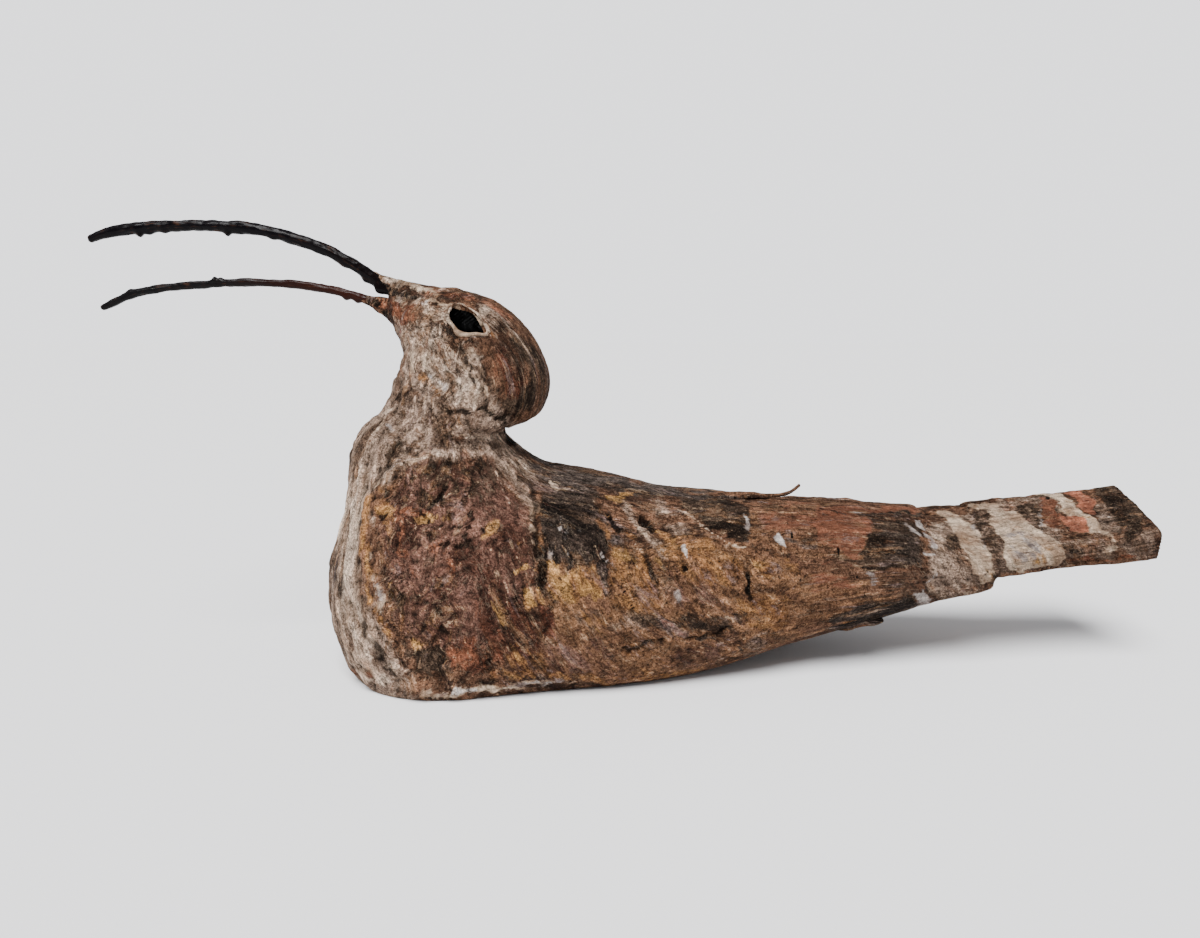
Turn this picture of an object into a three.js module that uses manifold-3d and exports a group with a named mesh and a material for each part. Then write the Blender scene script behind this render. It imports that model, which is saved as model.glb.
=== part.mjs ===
/**
 * Shorebird decoy: a resting curlew of weathered wood and filler, with a beak of two curved twigs.
 *
 * Millimetres, +Z up. The bird faces -X and its tail points along +X. It rests on the flat of its
 * underside, on the plane z = 0, with the origin in that flat below the middle of its body.
 *
 * The body is one free form. Each of its cross-sections stands on a chord that runs from the line of
 * the back to the line of the underside, so the sections fan round with the bend of the neck.
 */
import * as THREE from 'three';
import { mergeVertices } from 'three/addons/utils/BufferGeometryUtils.js';
import Module from 'manifold-3d';

const wasm = await Module();
wasm.setup();

const { clamp, degToRad, lerp, smoothstep } = THREE.MathUtils;

// Driving sizes of the body
const BODY_LENGTH = 410; // scale of the whole figure, breast to tail tip
const SECTIONS = 94; // rings along the body
const SECTION_SIDES = 36; // sides of each ring
const TAIL_ROLL = degToRad(21); // the tail's far edge stands higher
const ROLL_BEGINS = 0.3; // share of the length, from the origin, where the roll begins
const ROLL_ENDS = 0.56; // share of the length where the roll is complete

// Carving of the sides
const RIM_HEIGHT = 1.5; // raised rim round the front and top of the breast
const RIM_WIDTH = 8;
const BREAST_STEP = 2; // the breast stands this much higher inside the rim
const FOLD_DEPTH = 0.8; // long folds down the chest
const FOLD_PITCH = 16;

// Eyes
const EYE_LENGTH = 18; // corner to corner
const EYE_HEIGHT = 9.6;
const EYE_DEPTH = 4.2;
const EYE_TILT = degToRad(32); // the back corner is the lower one
const EYE_PINCH = 0.35; // share of its height that the almond loses at the back corner
const EYE_SIDES = 24;
const EYE_RINGS = 8;
const LID_THICKNESS = 2.2; // raised lid round each eye
const LID_SIDES = 6;

// Beak twigs and what they are set in
const UPPER_TWIG_RADIUS = 2.7; // at the root
const LOWER_TWIG_RADIUS = 2.1;
const TIP_SHARE = 0.84; // a twig's radius near its tip, as a share of that at the root
const KNOT_SHARE = 0.16; // a knot's height as a share of the root radius
const KNOT_LENGTH = 0.014; // share of the twig's length
const TWIG_SEAT = 11; // depth of each twig in its beak root
const CLEARANCE = 0.3; // gap between a twig and its socket
const TONGUE_TIP_RADIUS = 1.4; // filler that runs out over the upper twig
const TONGUE_BASE_RADIUS = 7.4;
const CHIN_TIP_RADIUS = 1.3; // filler that runs out under the lower twig
const CHIN_BASE_RADIUS = 9;
const ROOT_FLARE = 1.3; // above 1, a beak root stays slender and widens late
const ROOT_SIDES = 14;
const ROOT_STEPS = 8;
const TWIG_SIDES = 8;
const TWIG_STEPS = 30;

// Split wood that stands off the body
const TOP_LAYER_WIDTH = 24;
const TOP_LAYER_ROLL = degToRad(9); // it lies on the part that begins to roll
const SPLINTER_WIDTH = 7;
const FLAKE_WIDTH = 16;
const FLAKE_MIDDLE = -20; // the flake hangs on the near side

// Colour, roughness and metalness of each piece
const WEATHERED_WOOD = { color: 0x7d6350, roughness: 0.85, metalness: 0 };
const BLACK_TWIG = { color: 0x1d1a1a, roughness: 0.35, metalness: 0 };
const RED_BROWN_TWIG = { color: 0x2b1c18, roughness: 0.4, metalness: 0 };

/** A length given in thousandths of the body's length. */
const share = (thousandths) => (thousandths * BODY_LENGTH) / 1000;

/** A point of the side view, in thousandths of the body's length. */
const sideView = (x, z) => new THREE.Vector3(share(x), 0, share(z));

/**
 * Cross-sections from the beak root to the tail tip, in thousandths of the body's length. Each holds
 * the point of the back, x and z, the point of the underside, x and z, and the half width. The last two
 * numbers say how square the upper and the lower half of the section are: 2 is an ellipse.
 */
const STATIONS = [
  { name: 'beak root', back: [-206, 438], under: [-206, 434], half: 2, square: [2, 2] },
  { name: 'beak base', back: [-197, 452], under: [-202, 412], half: 18, square: [2, 2] },
  { name: 'lores', back: [-183, 453], under: [-187, 388], half: 28, square: [2, 2] },
  { name: 'brow', back: [-150, 447], under: [-181, 371], half: 43, square: [2.1, 2] },
  { name: 'crown', back: [-108, 441], under: [-185, 355], half: 56, square: [2.2, 2] },
  { name: 'poll', back: [-65, 424], under: [-196, 334], half: 64, square: [2.2, 2] },
  { name: 'back of head', back: [-29, 389], under: [-203, 316], half: 69, square: [2.2, 2.1] },
  { name: 'nape', back: [-10, 343], under: [-212, 300], half: 72, square: [2.2, 2.1] },
  { name: 'lower nape', back: [-19, 301], under: [-226, 289], half: 74, square: [2.2, 2.1] },
  { name: 'under the nape', back: [-47, 287], under: [-237, 276], half: 76, square: [2.2, 2.1] },
  { name: 'nook', back: [-66, 280], under: [-244, 262], half: 79, square: [2.2, 2.1] },
  { name: 'neck foot', back: [-58, 265], under: [-249, 245], half: 86, square: [2.2, 2.2] },
  { name: 'shoulder', back: [-41, 249], under: [-254, 214], half: 101, square: [2.2, 2.3] },
  { name: 'upper breast', back: [-18, 235], under: [-262, 169], half: 122, square: [2.2, 2.4] },
  { name: 'breast', back: [12, 227], under: [-272, 122], half: 140, square: [2.2, 2.6] },
  { name: 'full breast', back: [49, 222], under: [-269, 70], half: 152, square: [2.2, 3] },
  { name: 'lower breast', back: [86, 214], under: [-245, 16], half: 157, square: [2.2, 3.8] },
  { name: 'keel', back: [120, 206], under: [-208, -18], half: 158, square: [2.2, 4.6] },
  { name: 'front belly', back: [150, 201], under: [-144, -24], half: 155, square: [2.2, 4.8] },
  { name: 'belly', back: [185, 197], under: [-44, -19], half: 147, square: [2.2, 4.2] },
  { name: 'rear belly', back: [222, 194], under: [60, -15], half: 134, square: [2.2, 3.8] },
  { name: 'flank', back: [262, 191], under: [160, -7], half: 116, square: [2.3, 3.4] },
  { name: 'rear flank', back: [307, 185], under: [247, 13], half: 98, square: [2.4, 3] },
  { name: 'rump', back: [356, 179], under: [324, 34], half: 87, square: [2.6, 2.9] },
  { name: 'tail cover', back: [410, 174], under: [392, 60], half: 78, square: [2.8, 3] },
  { name: 'tail root', back: [468, 163], under: [460, 89], half: 72, square: [3.4, 3.4] },
  { name: 'ledge', back: [512, 159], under: [510, 107], half: 66, square: [4.4, 4.4] },
  { name: 'below the ledge', back: [521, 160], under: [519, 125], half: 63, square: [6, 6] },
  { name: 'mid tail', back: [616, 171], under: [615, 136], half: 57, square: [8, 8] },
  { name: 'tail tip', back: [700, 186], under: [709, 142], half: 52, square: [10, 10] },
];

const LINES = {
  backX: STATIONS.map((s) => share(s.back[0])),
  backZ: STATIONS.map((s) => share(s.back[1])),
  underX: STATIONS.map((s) => share(s.under[0])),
  underZ: STATIONS.map((s) => share(s.under[1])),
  half: STATIONS.map((s) => share(s.half)),
  upper: STATIONS.map((s) => s.square[0]),
  lower: STATIONS.map((s) => s.square[1]),
};

// The breast's rim follows this ellipse of the side view on its front and upper sides
const BREAST_CENTRE = sideView(-110, 134);
const BREAST_HALF_LENGTH = share(95);
const BREAST_HALF_HEIGHT = share(137);

const EYE_CENTRE = sideView(-99, 409);

// Each twig's line, from its tip to where it enters the beak root
const UPPER_LINE = [
  [-541, 499], [-515, 507], [-466, 514], [-422, 515], [-382, 514], [-348, 511],
  [-314, 504], [-283, 494], [-254, 481], [-227, 465], [-209, 452], [-194, 442],
].map(([x, z]) => sideView(x, z));
const LOWER_LINE = [
  [-534, 421], [-501, 436], [-464, 444], [-425, 448], [-367, 451],
  [-312, 449], [-272, 444], [-243, 437], [-224, 432],
].map(([x, z]) => sideView(x, z));
const UPPER_KNOTS = [0.16, 0.45, 0.62]; // shares of the twig's length from its tip
const LOWER_KNOTS = [0.21, 0.38];

// Where the filler of each beak root begins, out on the twig, and where it ends inside the head
const TONGUE = [sideView(-216, 461), sideView(-163, 431)];
const CHIN = [sideView(-232, 431), sideView(-168, 402)];

// Side outlines of a split layer of the top, a splinter that peels up from it, and a flake of the rump
const TOP_LAYER = [
  [262, 184], [280, 188], [340, 186], [366, 184], [384, 180], [410, 178], [446, 177], [448, 160], [300, 160],
].map(([x, z]) => sideView(x, z));
const SPLINTER = [
  [170, 190], [200, 197], [235, 198], [262, 199], [281, 203], [291, 211], [293, 209], [284, 200],
  [264, 195], [236, 192],
].map(([x, z]) => sideView(x, z));
const FLAKE = [
  [318, 60], [318, 47], [340, 48], [372, 54], [384, 61], [372, 63],
].map(([x, z]) => sideView(x, z));

/** Catmull-Rom value of a list of numbers at t, which runs from 0 to 1 along the list. */
function along(values, t) {
  const last = values.length - 1;
  const i = Math.min(Math.floor(t * last), last - 1);
  const u = t * last - i;
  const [a, b, c, d] = [-1, 0, 1, 2].map((step) => values[clamp(i + step, 0, last)]);
  return b + 0.5 * u * (c - a + u * (2 * a - 5 * b + 4 * c - d + u * (3 * (b - c) + d - a)));
}

/** A bell of height 1 round zero. */
const bell = (distance, width) => Math.exp(-((distance / width) ** 2));

/**
 * Broad carving of the sides, as a height over the plain form at the side view's x and z. The breast
 * stands inside a raised rim, and long folds run down the chest in front of it.
 */
function carving(x, z) {
  const across = (x - BREAST_CENTRE.x) / BREAST_HALF_LENGTH;
  const up = (z - BREAST_CENTRE.z) / BREAST_HALF_HEIGHT;
  const outside = (Math.hypot(across, up) - 1) * BREAST_HALF_LENGTH;
  const turn = Math.abs(Math.atan2(up, across)) / Math.PI; // 0 towards the tail, 1 towards the front
  const rimmed = smoothstep(turn, 0.3, 0.5);
  const chest = smoothstep(turn, 0.6, 0.8) * smoothstep(outside, 0, RIM_WIDTH);
  const rim = RIM_HEIGHT * bell(outside, RIM_WIDTH);
  const step = BREAST_STEP * smoothstep(-outside, -RIM_WIDTH, RIM_WIDTH) * smoothstep(-across, -0.8, 0.8);
  const folds = FOLD_DEPTH * Math.sin((2 * Math.PI * outside) / FOLD_PITCH);
  return rimmed * rim + step + chest * folds;
}

/** Point of the body's skin: ring counts from beak root to tail tip, turn once round the section. */
function bodyPoint(ring, turn) {
  // the first and the last ring are single points, which close the two end sections
  const t = clamp((ring - 1) / (SECTIONS - 2), 0, 1);
  const open = ring === 0 || ring === SECTIONS ? 0 : 1;
  const back = new THREE.Vector3(along(LINES.backX, t), 0, along(LINES.backZ, t));
  const under = new THREE.Vector3(along(LINES.underX, t), 0, along(LINES.underZ, t));
  const centre = back.clone().add(under).multiplyScalar(0.5);
  const upward = back.clone().sub(centre);
  const c = Math.cos(2 * Math.PI * turn);
  const s = Math.sin(2 * Math.PI * turn);
  const power = along(c > 0 ? LINES.upper : LINES.lower, t);
  const radius = open * (Math.abs(c) ** power + Math.abs(s) ** power) ** (-1 / power);
  const plain = centre.clone().addScaledVector(upward, c * radius);
  const relief = open * carving(plain.x, plain.z) * Math.abs(s);
  const rise = c * (radius * upward.length() + relief);
  const side = s * (radius * along(LINES.half, t) + relief);
  const roll = TAIL_ROLL * smoothstep(centre.x / BODY_LENGTH, ROLL_BEGINS, ROLL_ENDS);
  const height = rise * Math.cos(roll) + side * Math.sin(roll);
  const point = centre.addScaledVector(upward.normalize(), height);
  point.y = side * Math.cos(roll) - rise * Math.sin(roll);
  return point;
}

/** Moves each vertex of a sphere to the place that the function gives for its ring and turn. */
function shapedSphere(sides, rings, place) {
  const geometry = new THREE.SphereGeometry(1, sides, rings);
  const { position, uv } = geometry.attributes;
  for (let i = 0; i < position.count; i++) {
    const ring = Math.round((1 - uv.getY(i)) * rings);
    const pole = ring === 0 || ring === rings;
    const column = pole ? 0 : Math.round(uv.getX(i) * sides) % sides;
    position.setXYZ(i, ...place(ring, column / sides).toArray());
  }
  return geometry;
}

/** A round bar along a path, its radius a function of the share of the path's length. */
function taperedBar(path, radiusAt, sides, steps) {
  const geometry = new THREE.CylinderGeometry(1, 1, 1, sides, steps);
  const { position } = geometry.attributes;
  const across = new THREE.Vector3(0, 1, 0);
  for (let i = 0; i < position.count; i++) {
    const t = clamp(0.5 - position.getY(i), 0, 1);
    const upward = new THREE.Vector3().crossVectors(across, path.getTangentAt(t)).normalize();
    const point = path.getPointAt(t).addScaledVector(upward, position.getZ(i) * radiusAt(t));
    point.y += position.getX(i) * radiusAt(t);
    position.setXYZ(i, ...point.toArray());
  }
  return geometry;
}

/** A side outline given a width, centred on the middle. */
function slab(outline, width, middle = 0) {
  const shape = new THREE.Shape(outline.map(({ x, z }) => new THREE.Vector2(x, z)));
  const geometry = new THREE.ExtrudeGeometry(shape, { depth: width, bevelEnabled: false });
  geometry.rotateX(0.5 * Math.PI).translate(0, middle + 0.5 * width, 0);
  return geometry;
}

/** Volume inside a closed indexed geometry, below zero where its faces point inward. */
function signedVolume({ index, attributes }) {
  const corner = (i) => new THREE.Vector3().fromBufferAttribute(attributes.position, index.getX(i));
  let volume = 0;
  for (let i = 0; i < index.count; i += 3) {
    volume += corner(i).dot(corner(i + 1).cross(corner(i + 2))) / 6;
  }
  return volume;
}

/** Turns a closed geometry into a solid for joining and cutting. */
function solid(geometry) {
  const bare = geometry.clone();
  bare.deleteAttribute('normal');
  bare.deleteAttribute('uv');
  const merged = mergeVertices(bare);
  if (signedVolume(merged) < 0) merged.index.array.reverse();
  const mesh = new wasm.Mesh({
    numProp: 3,
    vertProperties: new Float32Array(merged.attributes.position.array),
    triVerts: new Uint32Array(merged.index.array),
  });
  return new wasm.Manifold(mesh);
}

/** Turns a solid back into a geometry with flat faces. */
function faceted(manifold) {
  const mesh = manifold.getMesh();
  const geometry = new THREE.BufferGeometry();
  geometry.setAttribute('position', new THREE.BufferAttribute(mesh.vertProperties, 3));
  geometry.setIndex(new THREE.BufferAttribute(mesh.triVerts, 1));
  return geometry;
}

/** A twig thickens from its tip to its root, with a rounded tip and a few knots. */
function twig(line, rootRadius, knots) {
  // past the end of its line the twig runs on straight, into its seat in the beak root
  const [before, root] = line.slice(-2);
  const seat = root.clone().add(root.clone().sub(before).setLength(TWIG_SEAT));
  const path = new THREE.CatmullRomCurve3([...line, seat], false, 'centripetal');
  const taper = (t) => lerp(TIP_SHARE, 1, t) * (1 - 0.25 * bell(t, 0.03));
  const swelling = (t) => knots.reduce((sum, at) => sum + KNOT_SHARE * bell(t - at, KNOT_LENGTH), 0);
  return { path, radius: (t) => rootRadius * (taper(t) + swelling(t)) };
}

const upperTwig = twig(UPPER_LINE, UPPER_TWIG_RADIUS, UPPER_KNOTS);
const lowerTwig = twig(LOWER_LINE, LOWER_TWIG_RADIUS, LOWER_KNOTS);

/** The twig itself or, with some extra radius, the channel that it sits in. */
const twigBar = ({ path, radius }, extra = 0) =>
  solid(taperedBar(path, (t) => radius(t) + extra, TWIG_SIDES, TWIG_STEPS));

/** A cone of filler that runs out from the head along a twig. */
function beakRoot([tip, base], tipRadius, baseRadius) {
  const radius = (t) => lerp(tipRadius, baseRadius, t ** ROOT_FLARE);
  return solid(taperedBar(new THREE.LineCurve3(tip, base), radius, ROOT_SIDES, ROOT_STEPS));
}

/** The y of the skin on one side of the bird, where a line across it at x and z meets it. */
function skinAt(skin, side, x, z) {
  const inward = new THREE.Vector3(0, -side, 0);
  const ray = new THREE.Raycaster(new THREE.Vector3(x, side * BODY_LENGTH, z), inward);
  return ray.intersectObject(skin)[0].point.y;
}

/** Point of the eye's almond, which narrows towards its back corner; scale 1 is the opening's edge. */
function eyePoint(angle, scale) {
  const pinch = 1 - EYE_PINCH * Math.max(0, Math.cos(angle));
  const length = 0.5 * EYE_LENGTH * scale * Math.cos(angle);
  const height = 0.5 * EYE_HEIGHT * scale * Math.sin(angle) * pinch;
  const point = new THREE.Vector3(length, 0, height);
  return point.applyAxisAngle(new THREE.Vector3(0, 1, 0), EYE_TILT).add(EYE_CENTRE);
}

/** The pocket behind the opening: a flattened ball whose middle lies in the skin. */
function eyeSocket(skin, side) {
  const middle = skinAt(skin, side, EYE_CENTRE.x, EYE_CENTRE.z);
  const place = (ring, turn) => {
    const polar = (Math.PI * ring) / EYE_RINGS;
    const point = eyePoint(2 * Math.PI * turn, Math.sin(polar));
    point.y = middle + EYE_DEPTH * Math.cos(polar);
    return point;
  };
  return solid(shapedSphere(EYE_SIDES, EYE_RINGS, place));
}

/** The raised lid: a bead that follows the opening's edge and sits half in the skin. */
function eyeLid(skin, side) {
  const geometry = new THREE.TorusGeometry(1, 0.5, LID_SIDES, EYE_SIDES);
  const { position, uv } = geometry.attributes;
  for (let i = 0; i < position.count; i++) {
    const angle = 2 * Math.PI * ((Math.round(uv.getX(i) * EYE_SIDES) % EYE_SIDES) / EYE_SIDES);
    const around = 2 * Math.PI * ((Math.round(uv.getY(i) * LID_SIDES) % LID_SIDES) / LID_SIDES);
    const point = eyePoint(angle, 1 + (LID_THICKNESS / EYE_HEIGHT) * (1 + Math.cos(around)));
    point.y = skinAt(skin, side, point.x, point.z) + 0.5 * LID_THICKNESS * Math.sin(around);
    position.setXYZ(i, ...point.toArray());
  }
  return solid(geometry);
}

/** Head, neck, breast, body and tail: one solid, cut flat where it rests. */
function buildBody() {
  const geometry = shapedSphere(SECTION_SIDES, SECTIONS, bodyPoint);
  const skin = new THREE.Mesh(geometry, new THREE.MeshBasicMaterial({ side: THREE.DoubleSide }));
  const ground = new THREE.BoxGeometry(3 * BODY_LENGTH, BODY_LENGTH, BODY_LENGTH);
  ground.translate(0, 0, -0.5 * BODY_LENGTH);
  const topLayer = slab(TOP_LAYER, TOP_LAYER_WIDTH);
  const hinge = TOP_LAYER[0].z;
  topLayer.translate(0, 0, -hinge).rotateX(TOP_LAYER_ROLL).translate(0, 0, hinge);

  let body = solid(geometry)
    .add(beakRoot(TONGUE, TONGUE_TIP_RADIUS, TONGUE_BASE_RADIUS))
    .add(beakRoot(CHIN, CHIN_TIP_RADIUS, CHIN_BASE_RADIUS))
    .add(solid(topLayer))
    .add(solid(slab(SPLINTER, SPLINTER_WIDTH)))
    .add(solid(slab(FLAKE, FLAKE_WIDTH, FLAKE_MIDDLE)));
  for (const side of [-1, 1]) {
    body = body.add(eyeLid(skin, side)).subtract(eyeSocket(skin, side));
  }
  return body
    .subtract(solid(ground))
    .subtract(twigBar(upperTwig, CLEARANCE))
    .subtract(twigBar(lowerTwig, CLEARANCE));
}

/** A named mesh of the model with its own material. */
function piece(name, manifold, look) {
  const mesh = new THREE.Mesh(faceted(manifold), new THREE.MeshStandardMaterial(look));
  mesh.name = name;
  return mesh;
}

const decoy = new THREE.Group();
decoy.add(piece('body', buildBody(), WEATHERED_WOOD));
decoy.add(piece('upper_beak', twigBar(upperTwig), BLACK_TWIG));
decoy.add(piece('lower_beak', twigBar(lowerTwig), RED_BROWN_TWIG));

export default decoy;
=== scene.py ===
"""Shorebird decoy of weathered wood, filler and twigs: its finished surfaces and their paint.

Everything is in metres in the part's own frame: +Z up, the beak along -X, the near side at -Y. Marks
of paint, wear and painted shade are placed by where they lie in the side view, in units of a view that is
1200 wide and 938 high, and are carried from there onto the curved surface.
"""

import logging
import math
from dataclasses import dataclass, field
from enum import Enum

import bpy
import numpy as np
from mathutils import Euler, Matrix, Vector


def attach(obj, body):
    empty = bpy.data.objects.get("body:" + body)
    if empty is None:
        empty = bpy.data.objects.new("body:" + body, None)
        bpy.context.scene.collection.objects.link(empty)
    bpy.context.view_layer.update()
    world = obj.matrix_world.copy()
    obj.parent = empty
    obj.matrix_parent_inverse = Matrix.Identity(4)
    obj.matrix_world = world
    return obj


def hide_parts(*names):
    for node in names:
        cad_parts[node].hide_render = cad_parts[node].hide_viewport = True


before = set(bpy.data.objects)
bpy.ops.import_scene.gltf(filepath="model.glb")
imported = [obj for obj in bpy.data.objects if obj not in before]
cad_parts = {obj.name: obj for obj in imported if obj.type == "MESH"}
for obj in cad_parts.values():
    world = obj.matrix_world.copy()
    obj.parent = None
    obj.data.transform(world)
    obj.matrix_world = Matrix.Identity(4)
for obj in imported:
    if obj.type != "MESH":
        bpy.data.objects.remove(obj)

LOG = logging.getLogger("decoy")
MM = 0.001
BODY_LENGTH = 0.410
# Cosines of the angle to the view between which the marks of the near side alone fade in.
EDGE_ON = (-0.25, -0.05)
# x and z of the point that the flank's strokes run round, and the length of one radian round it.
FAN_CENTRE = (0.128, 0.110)
FAN_REACH = 0.12
Colour = tuple[float, float, float, float]
Line = tuple[tuple[float, float], ...]
Value = bpy.types.NodeSocket | float | tuple[float, ...]


def smoothstep(x: np.ndarray, low: float, high: float) -> np.ndarray:
    """Rises smoothly from 0 at low to 1 at high, as 3u squared minus 2u cubed."""
    u = np.clip((x - low) / (high - low), 0.0, 1.0)
    return u * u * (3.0 - 2.0 * u)


def bell(x: np.ndarray, width: float) -> np.ndarray:
    """A bell of height 1 round zero, as the exponential of minus x over width, squared."""
    return np.exp(-((x / width) ** 2))


def spline(values: np.ndarray, t: np.ndarray) -> np.ndarray:
    """Uniform Catmull-Rom curve through the rows of values.

    Args:
        values: One row for each knot.
        t: Places along the curve, from 0 to 1.

    Returns:
        One row for each place.
    """
    last = len(values) - 1
    knot = np.minimum((t * last).astype(int), last - 1)
    u = (t * last - knot)[:, None]
    a, b, c, d = (values[np.clip(knot + step, 0, last)] for step in (-1, 0, 1, 2))
    return b + 0.5 * u * (c - a + u * (2 * a - 5 * b + 4 * c - d + u * (3 * (b - c) + d - a)))


def turns(count: int) -> np.ndarray:
    """Angles at even steps round a circle."""
    return 2.0 * math.pi * np.arange(count) / count


def run_up(steps: np.ndarray) -> np.ndarray:
    """The sum of the steps up to each place, from 0."""
    return np.concatenate([[0.0], np.cumsum(steps)])


class Noise:
    """Smooth random fields over points, the same at each run."""

    span = 2**32
    factors = (374761393, 668265263, 2246822519, 3266489917)
    mixers = ((13, 1274126177), (16, 2654435761))
    last_shift = 15
    gain = 1.6

    @classmethod
    def lattice(cls, cell: np.ndarray, seed: int) -> np.ndarray:
        """A random number from 0 to 1 for each whole-numbered cell, by mixing its bits.

        Args:
            cell: Three whole numbers in each row.
            seed: Chooses one of many fields.

        Returns:
            One number for each cell.
        """
        x, y, z = (cell[:, i].astype(np.uint32) * np.uint32(cls.factors[i]) for i in range(3))
        mixed = x + y + z + np.uint32(seed * cls.factors[3] % cls.span)
        for shift, factor in cls.mixers:
            mixed = (mixed ^ (mixed >> np.uint32(shift))) * np.uint32(factor)
        return (mixed ^ (mixed >> np.uint32(cls.last_shift))).astype(np.float64) / cls.span

    @classmethod
    def value(cls, points: np.ndarray, size: float, seed: int) -> np.ndarray:
        """Numbers on a lattice, blended between its corners by 6u^5 - 15u^4 + 10u^3.

        Args:
            points: Points in space, one in each row.
            size: Length of a cell.
            seed: Chooses the field.

        Returns:
            A number from 0 to 1 for each point.
        """
        place = points / size
        base = np.floor(place).astype(np.int64)
        u = place - base
        u = u * u * u * (u * (u * 6.0 - 15.0) + 10.0)
        total = np.zeros(len(points))
        for corner in range(8):
            step = np.array([corner & 1, (corner >> 1) & 1, corner >> 2])
            weight = np.prod(np.where(step == 1, u, 1.0 - u), axis=1)
            total += weight * cls.lattice(base + step, seed)
        return total

    @classmethod
    def fractal(cls, points: np.ndarray, size: float, seed: int, octaves: int = 4) -> np.ndarray:
        """Sum of fields, each half the size and height of the one before.

        Args:
            points: Points in space, one in each row.
            size: Length of a cell of the first field.
            seed: Chooses the field.
            octaves: How many fields.

        Returns:
            A number round 0, seldom past 1, for each point.
        """
        total = np.zeros(len(points))
        height, reach = 1.0, 0.0
        for octave in range(octaves):
            total += height * (2.0 * cls.value(points, size * 0.5**octave, seed + 31 * octave) - 1.0)
            reach += height
            height *= 0.5
        return cls.gain * total / reach

    @classmethod
    def vector(cls, points: np.ndarray, size: float, seeds: tuple[int, ...], octaves: int) -> np.ndarray:
        """A fractal field for each seed, side by side."""
        return np.stack([cls.fractal(points, size, seed, octaves) for seed in seeds], axis=1)


@dataclass(frozen=True)
class View:
    """The side view: where it is seen from and how it maps to the picture's units."""

    eye: tuple[float, float, float] = (0.020, -0.422, 0.1786)
    pitch: float = math.atan(173 / 865)
    focal: float = 865.0
    width: float = 1200.0
    height: float = 938.0
    sensor: float = 36.0

    def picture(self, points: np.ndarray) -> np.ndarray:
        """Places points in the view by perspective: sideways and upward offsets over the depth.

        Args:
            points: Points in space, one in each row.

        Returns:
            x to the right and y down for each point.
        """
        offset = points - np.array(self.eye)
        depth = offset[:, 1] * math.cos(self.pitch) - offset[:, 2] * math.sin(self.pitch)
        upward = offset[:, 1] * math.sin(self.pitch) + offset[:, 2] * math.cos(self.pitch)
        across = 0.5 * self.width + self.focal * offset[:, 0] / depth
        return np.stack([across, 0.5 * self.height - self.focal * upward / depth], axis=1)

    def build(self) -> None:
        """Makes the camera."""
        data = bpy.data.cameras.new("camera")
        data.sensor_width = self.sensor
        data.lens = self.focal * self.sensor / self.width
        data.clip_start = 0.01
        camera = bpy.data.objects.new("camera", data)
        camera.location = self.eye
        camera.rotation_euler = Euler((0.5 * math.pi - self.pitch, 0.0, 0.0))
        bpy.context.scene.collection.objects.link(camera)
        bpy.context.scene.camera = camera


VIEW = View()


@dataclass(frozen=True)
class Mark:
    """A stroke of paint or a cut in the surface, along a line through points of the view.

    Attributes:
        line: x and y of each point, one after the other. A patch's points go once round it.
        half: Half of the stroke's width at its start and at its end. A patch grows by it.
        soft: How far the edge fades.
        power: 1 covers what lies below, and less lets it show.
        patch: Whether the line is the edge of a filled area.
        plain: Whether the far side has the mark too.
    """

    line: tuple[float, ...]
    half: tuple[float, float]
    soft: float
    power: float
    patch: bool
    plain: bool

    def cover(self, places: np.ndarray, facing: np.ndarray) -> np.ndarray:
        """How deep each place lies in the mark: -1 outside, 0 at its edge and 1 well inside.

        The depth is the stroke's half width, less the distance to the nearest piece of its line, over
        the fade. Inside a patch the distance counts the other way.

        Args:
            places: Places in the view.
            facing: How far the surface faces the view there. What isn't plain fades where it faces away.

        Returns:
            The depth at each place.
        """
        points = np.array(self.line, dtype=float).reshape(-1, 2)
        depth = np.full(len(places), -1.0)
        margin = max(self.half) + self.soft
        inside = np.all((places > points.min(0) - margin) & (places < points.max(0) + margin), axis=1)
        if not self.plain:
            inside &= facing > EDGE_ON[0]
        here = places[inside]
        if len(here) == 0:
            return depth
        pairs = list(zip(points, np.roll(points, -1, axis=0)))
        pairs = pairs if self.patch else pairs[:-1]
        nearest = np.full(len(here), np.inf)
        crossed = np.zeros(len(here), dtype=bool)
        for i, (a, b) in enumerate(pairs):
            run = b - a
            share = np.clip((here - a) @ run / max(run @ run, 1e-9), 0.0, 1.0)
            gap = np.linalg.norm(here - a - share[:, None] * run, axis=1)
            half = self.half[0] + (self.half[1] - self.half[0]) * (i + share) / len(pairs)
            nearest = np.minimum(nearest, gap if self.patch else gap - half)
            between = (a[1] > here[:, 1]) != (b[1] > here[:, 1])
            level = np.where(between, (here[:, 1] - a[1]) / (run[1] if run[1] else 1e-9), 0.0)
            crossed ^= between & (here[:, 0] < a[0] + level * run[0])
        if self.patch:
            nearest = np.where(crossed, -nearest, nearest) - self.half[0]
        fade = 1.0 + np.clip(-nearest / self.soft, -1.0, 1.0)
        if not self.plain:
            fade = fade * smoothstep(facing[inside], *EDGE_ON)
        depth[inside] = self.power * fade - 1.0
        return depth


def rows(table: str) -> list[list[str]]:
    """The words in each row of a table. A line that begins with a point goes on with the row before.

    Args:
        table: Lines of words.

    Returns:
        The words of each row.
    """
    found: list[list[str]] = []
    for line in table.strip().splitlines():
        words = line.split()
        if "," in words[0]:
            found[-1] += words
        else:
            found.append(words)
    return found


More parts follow.
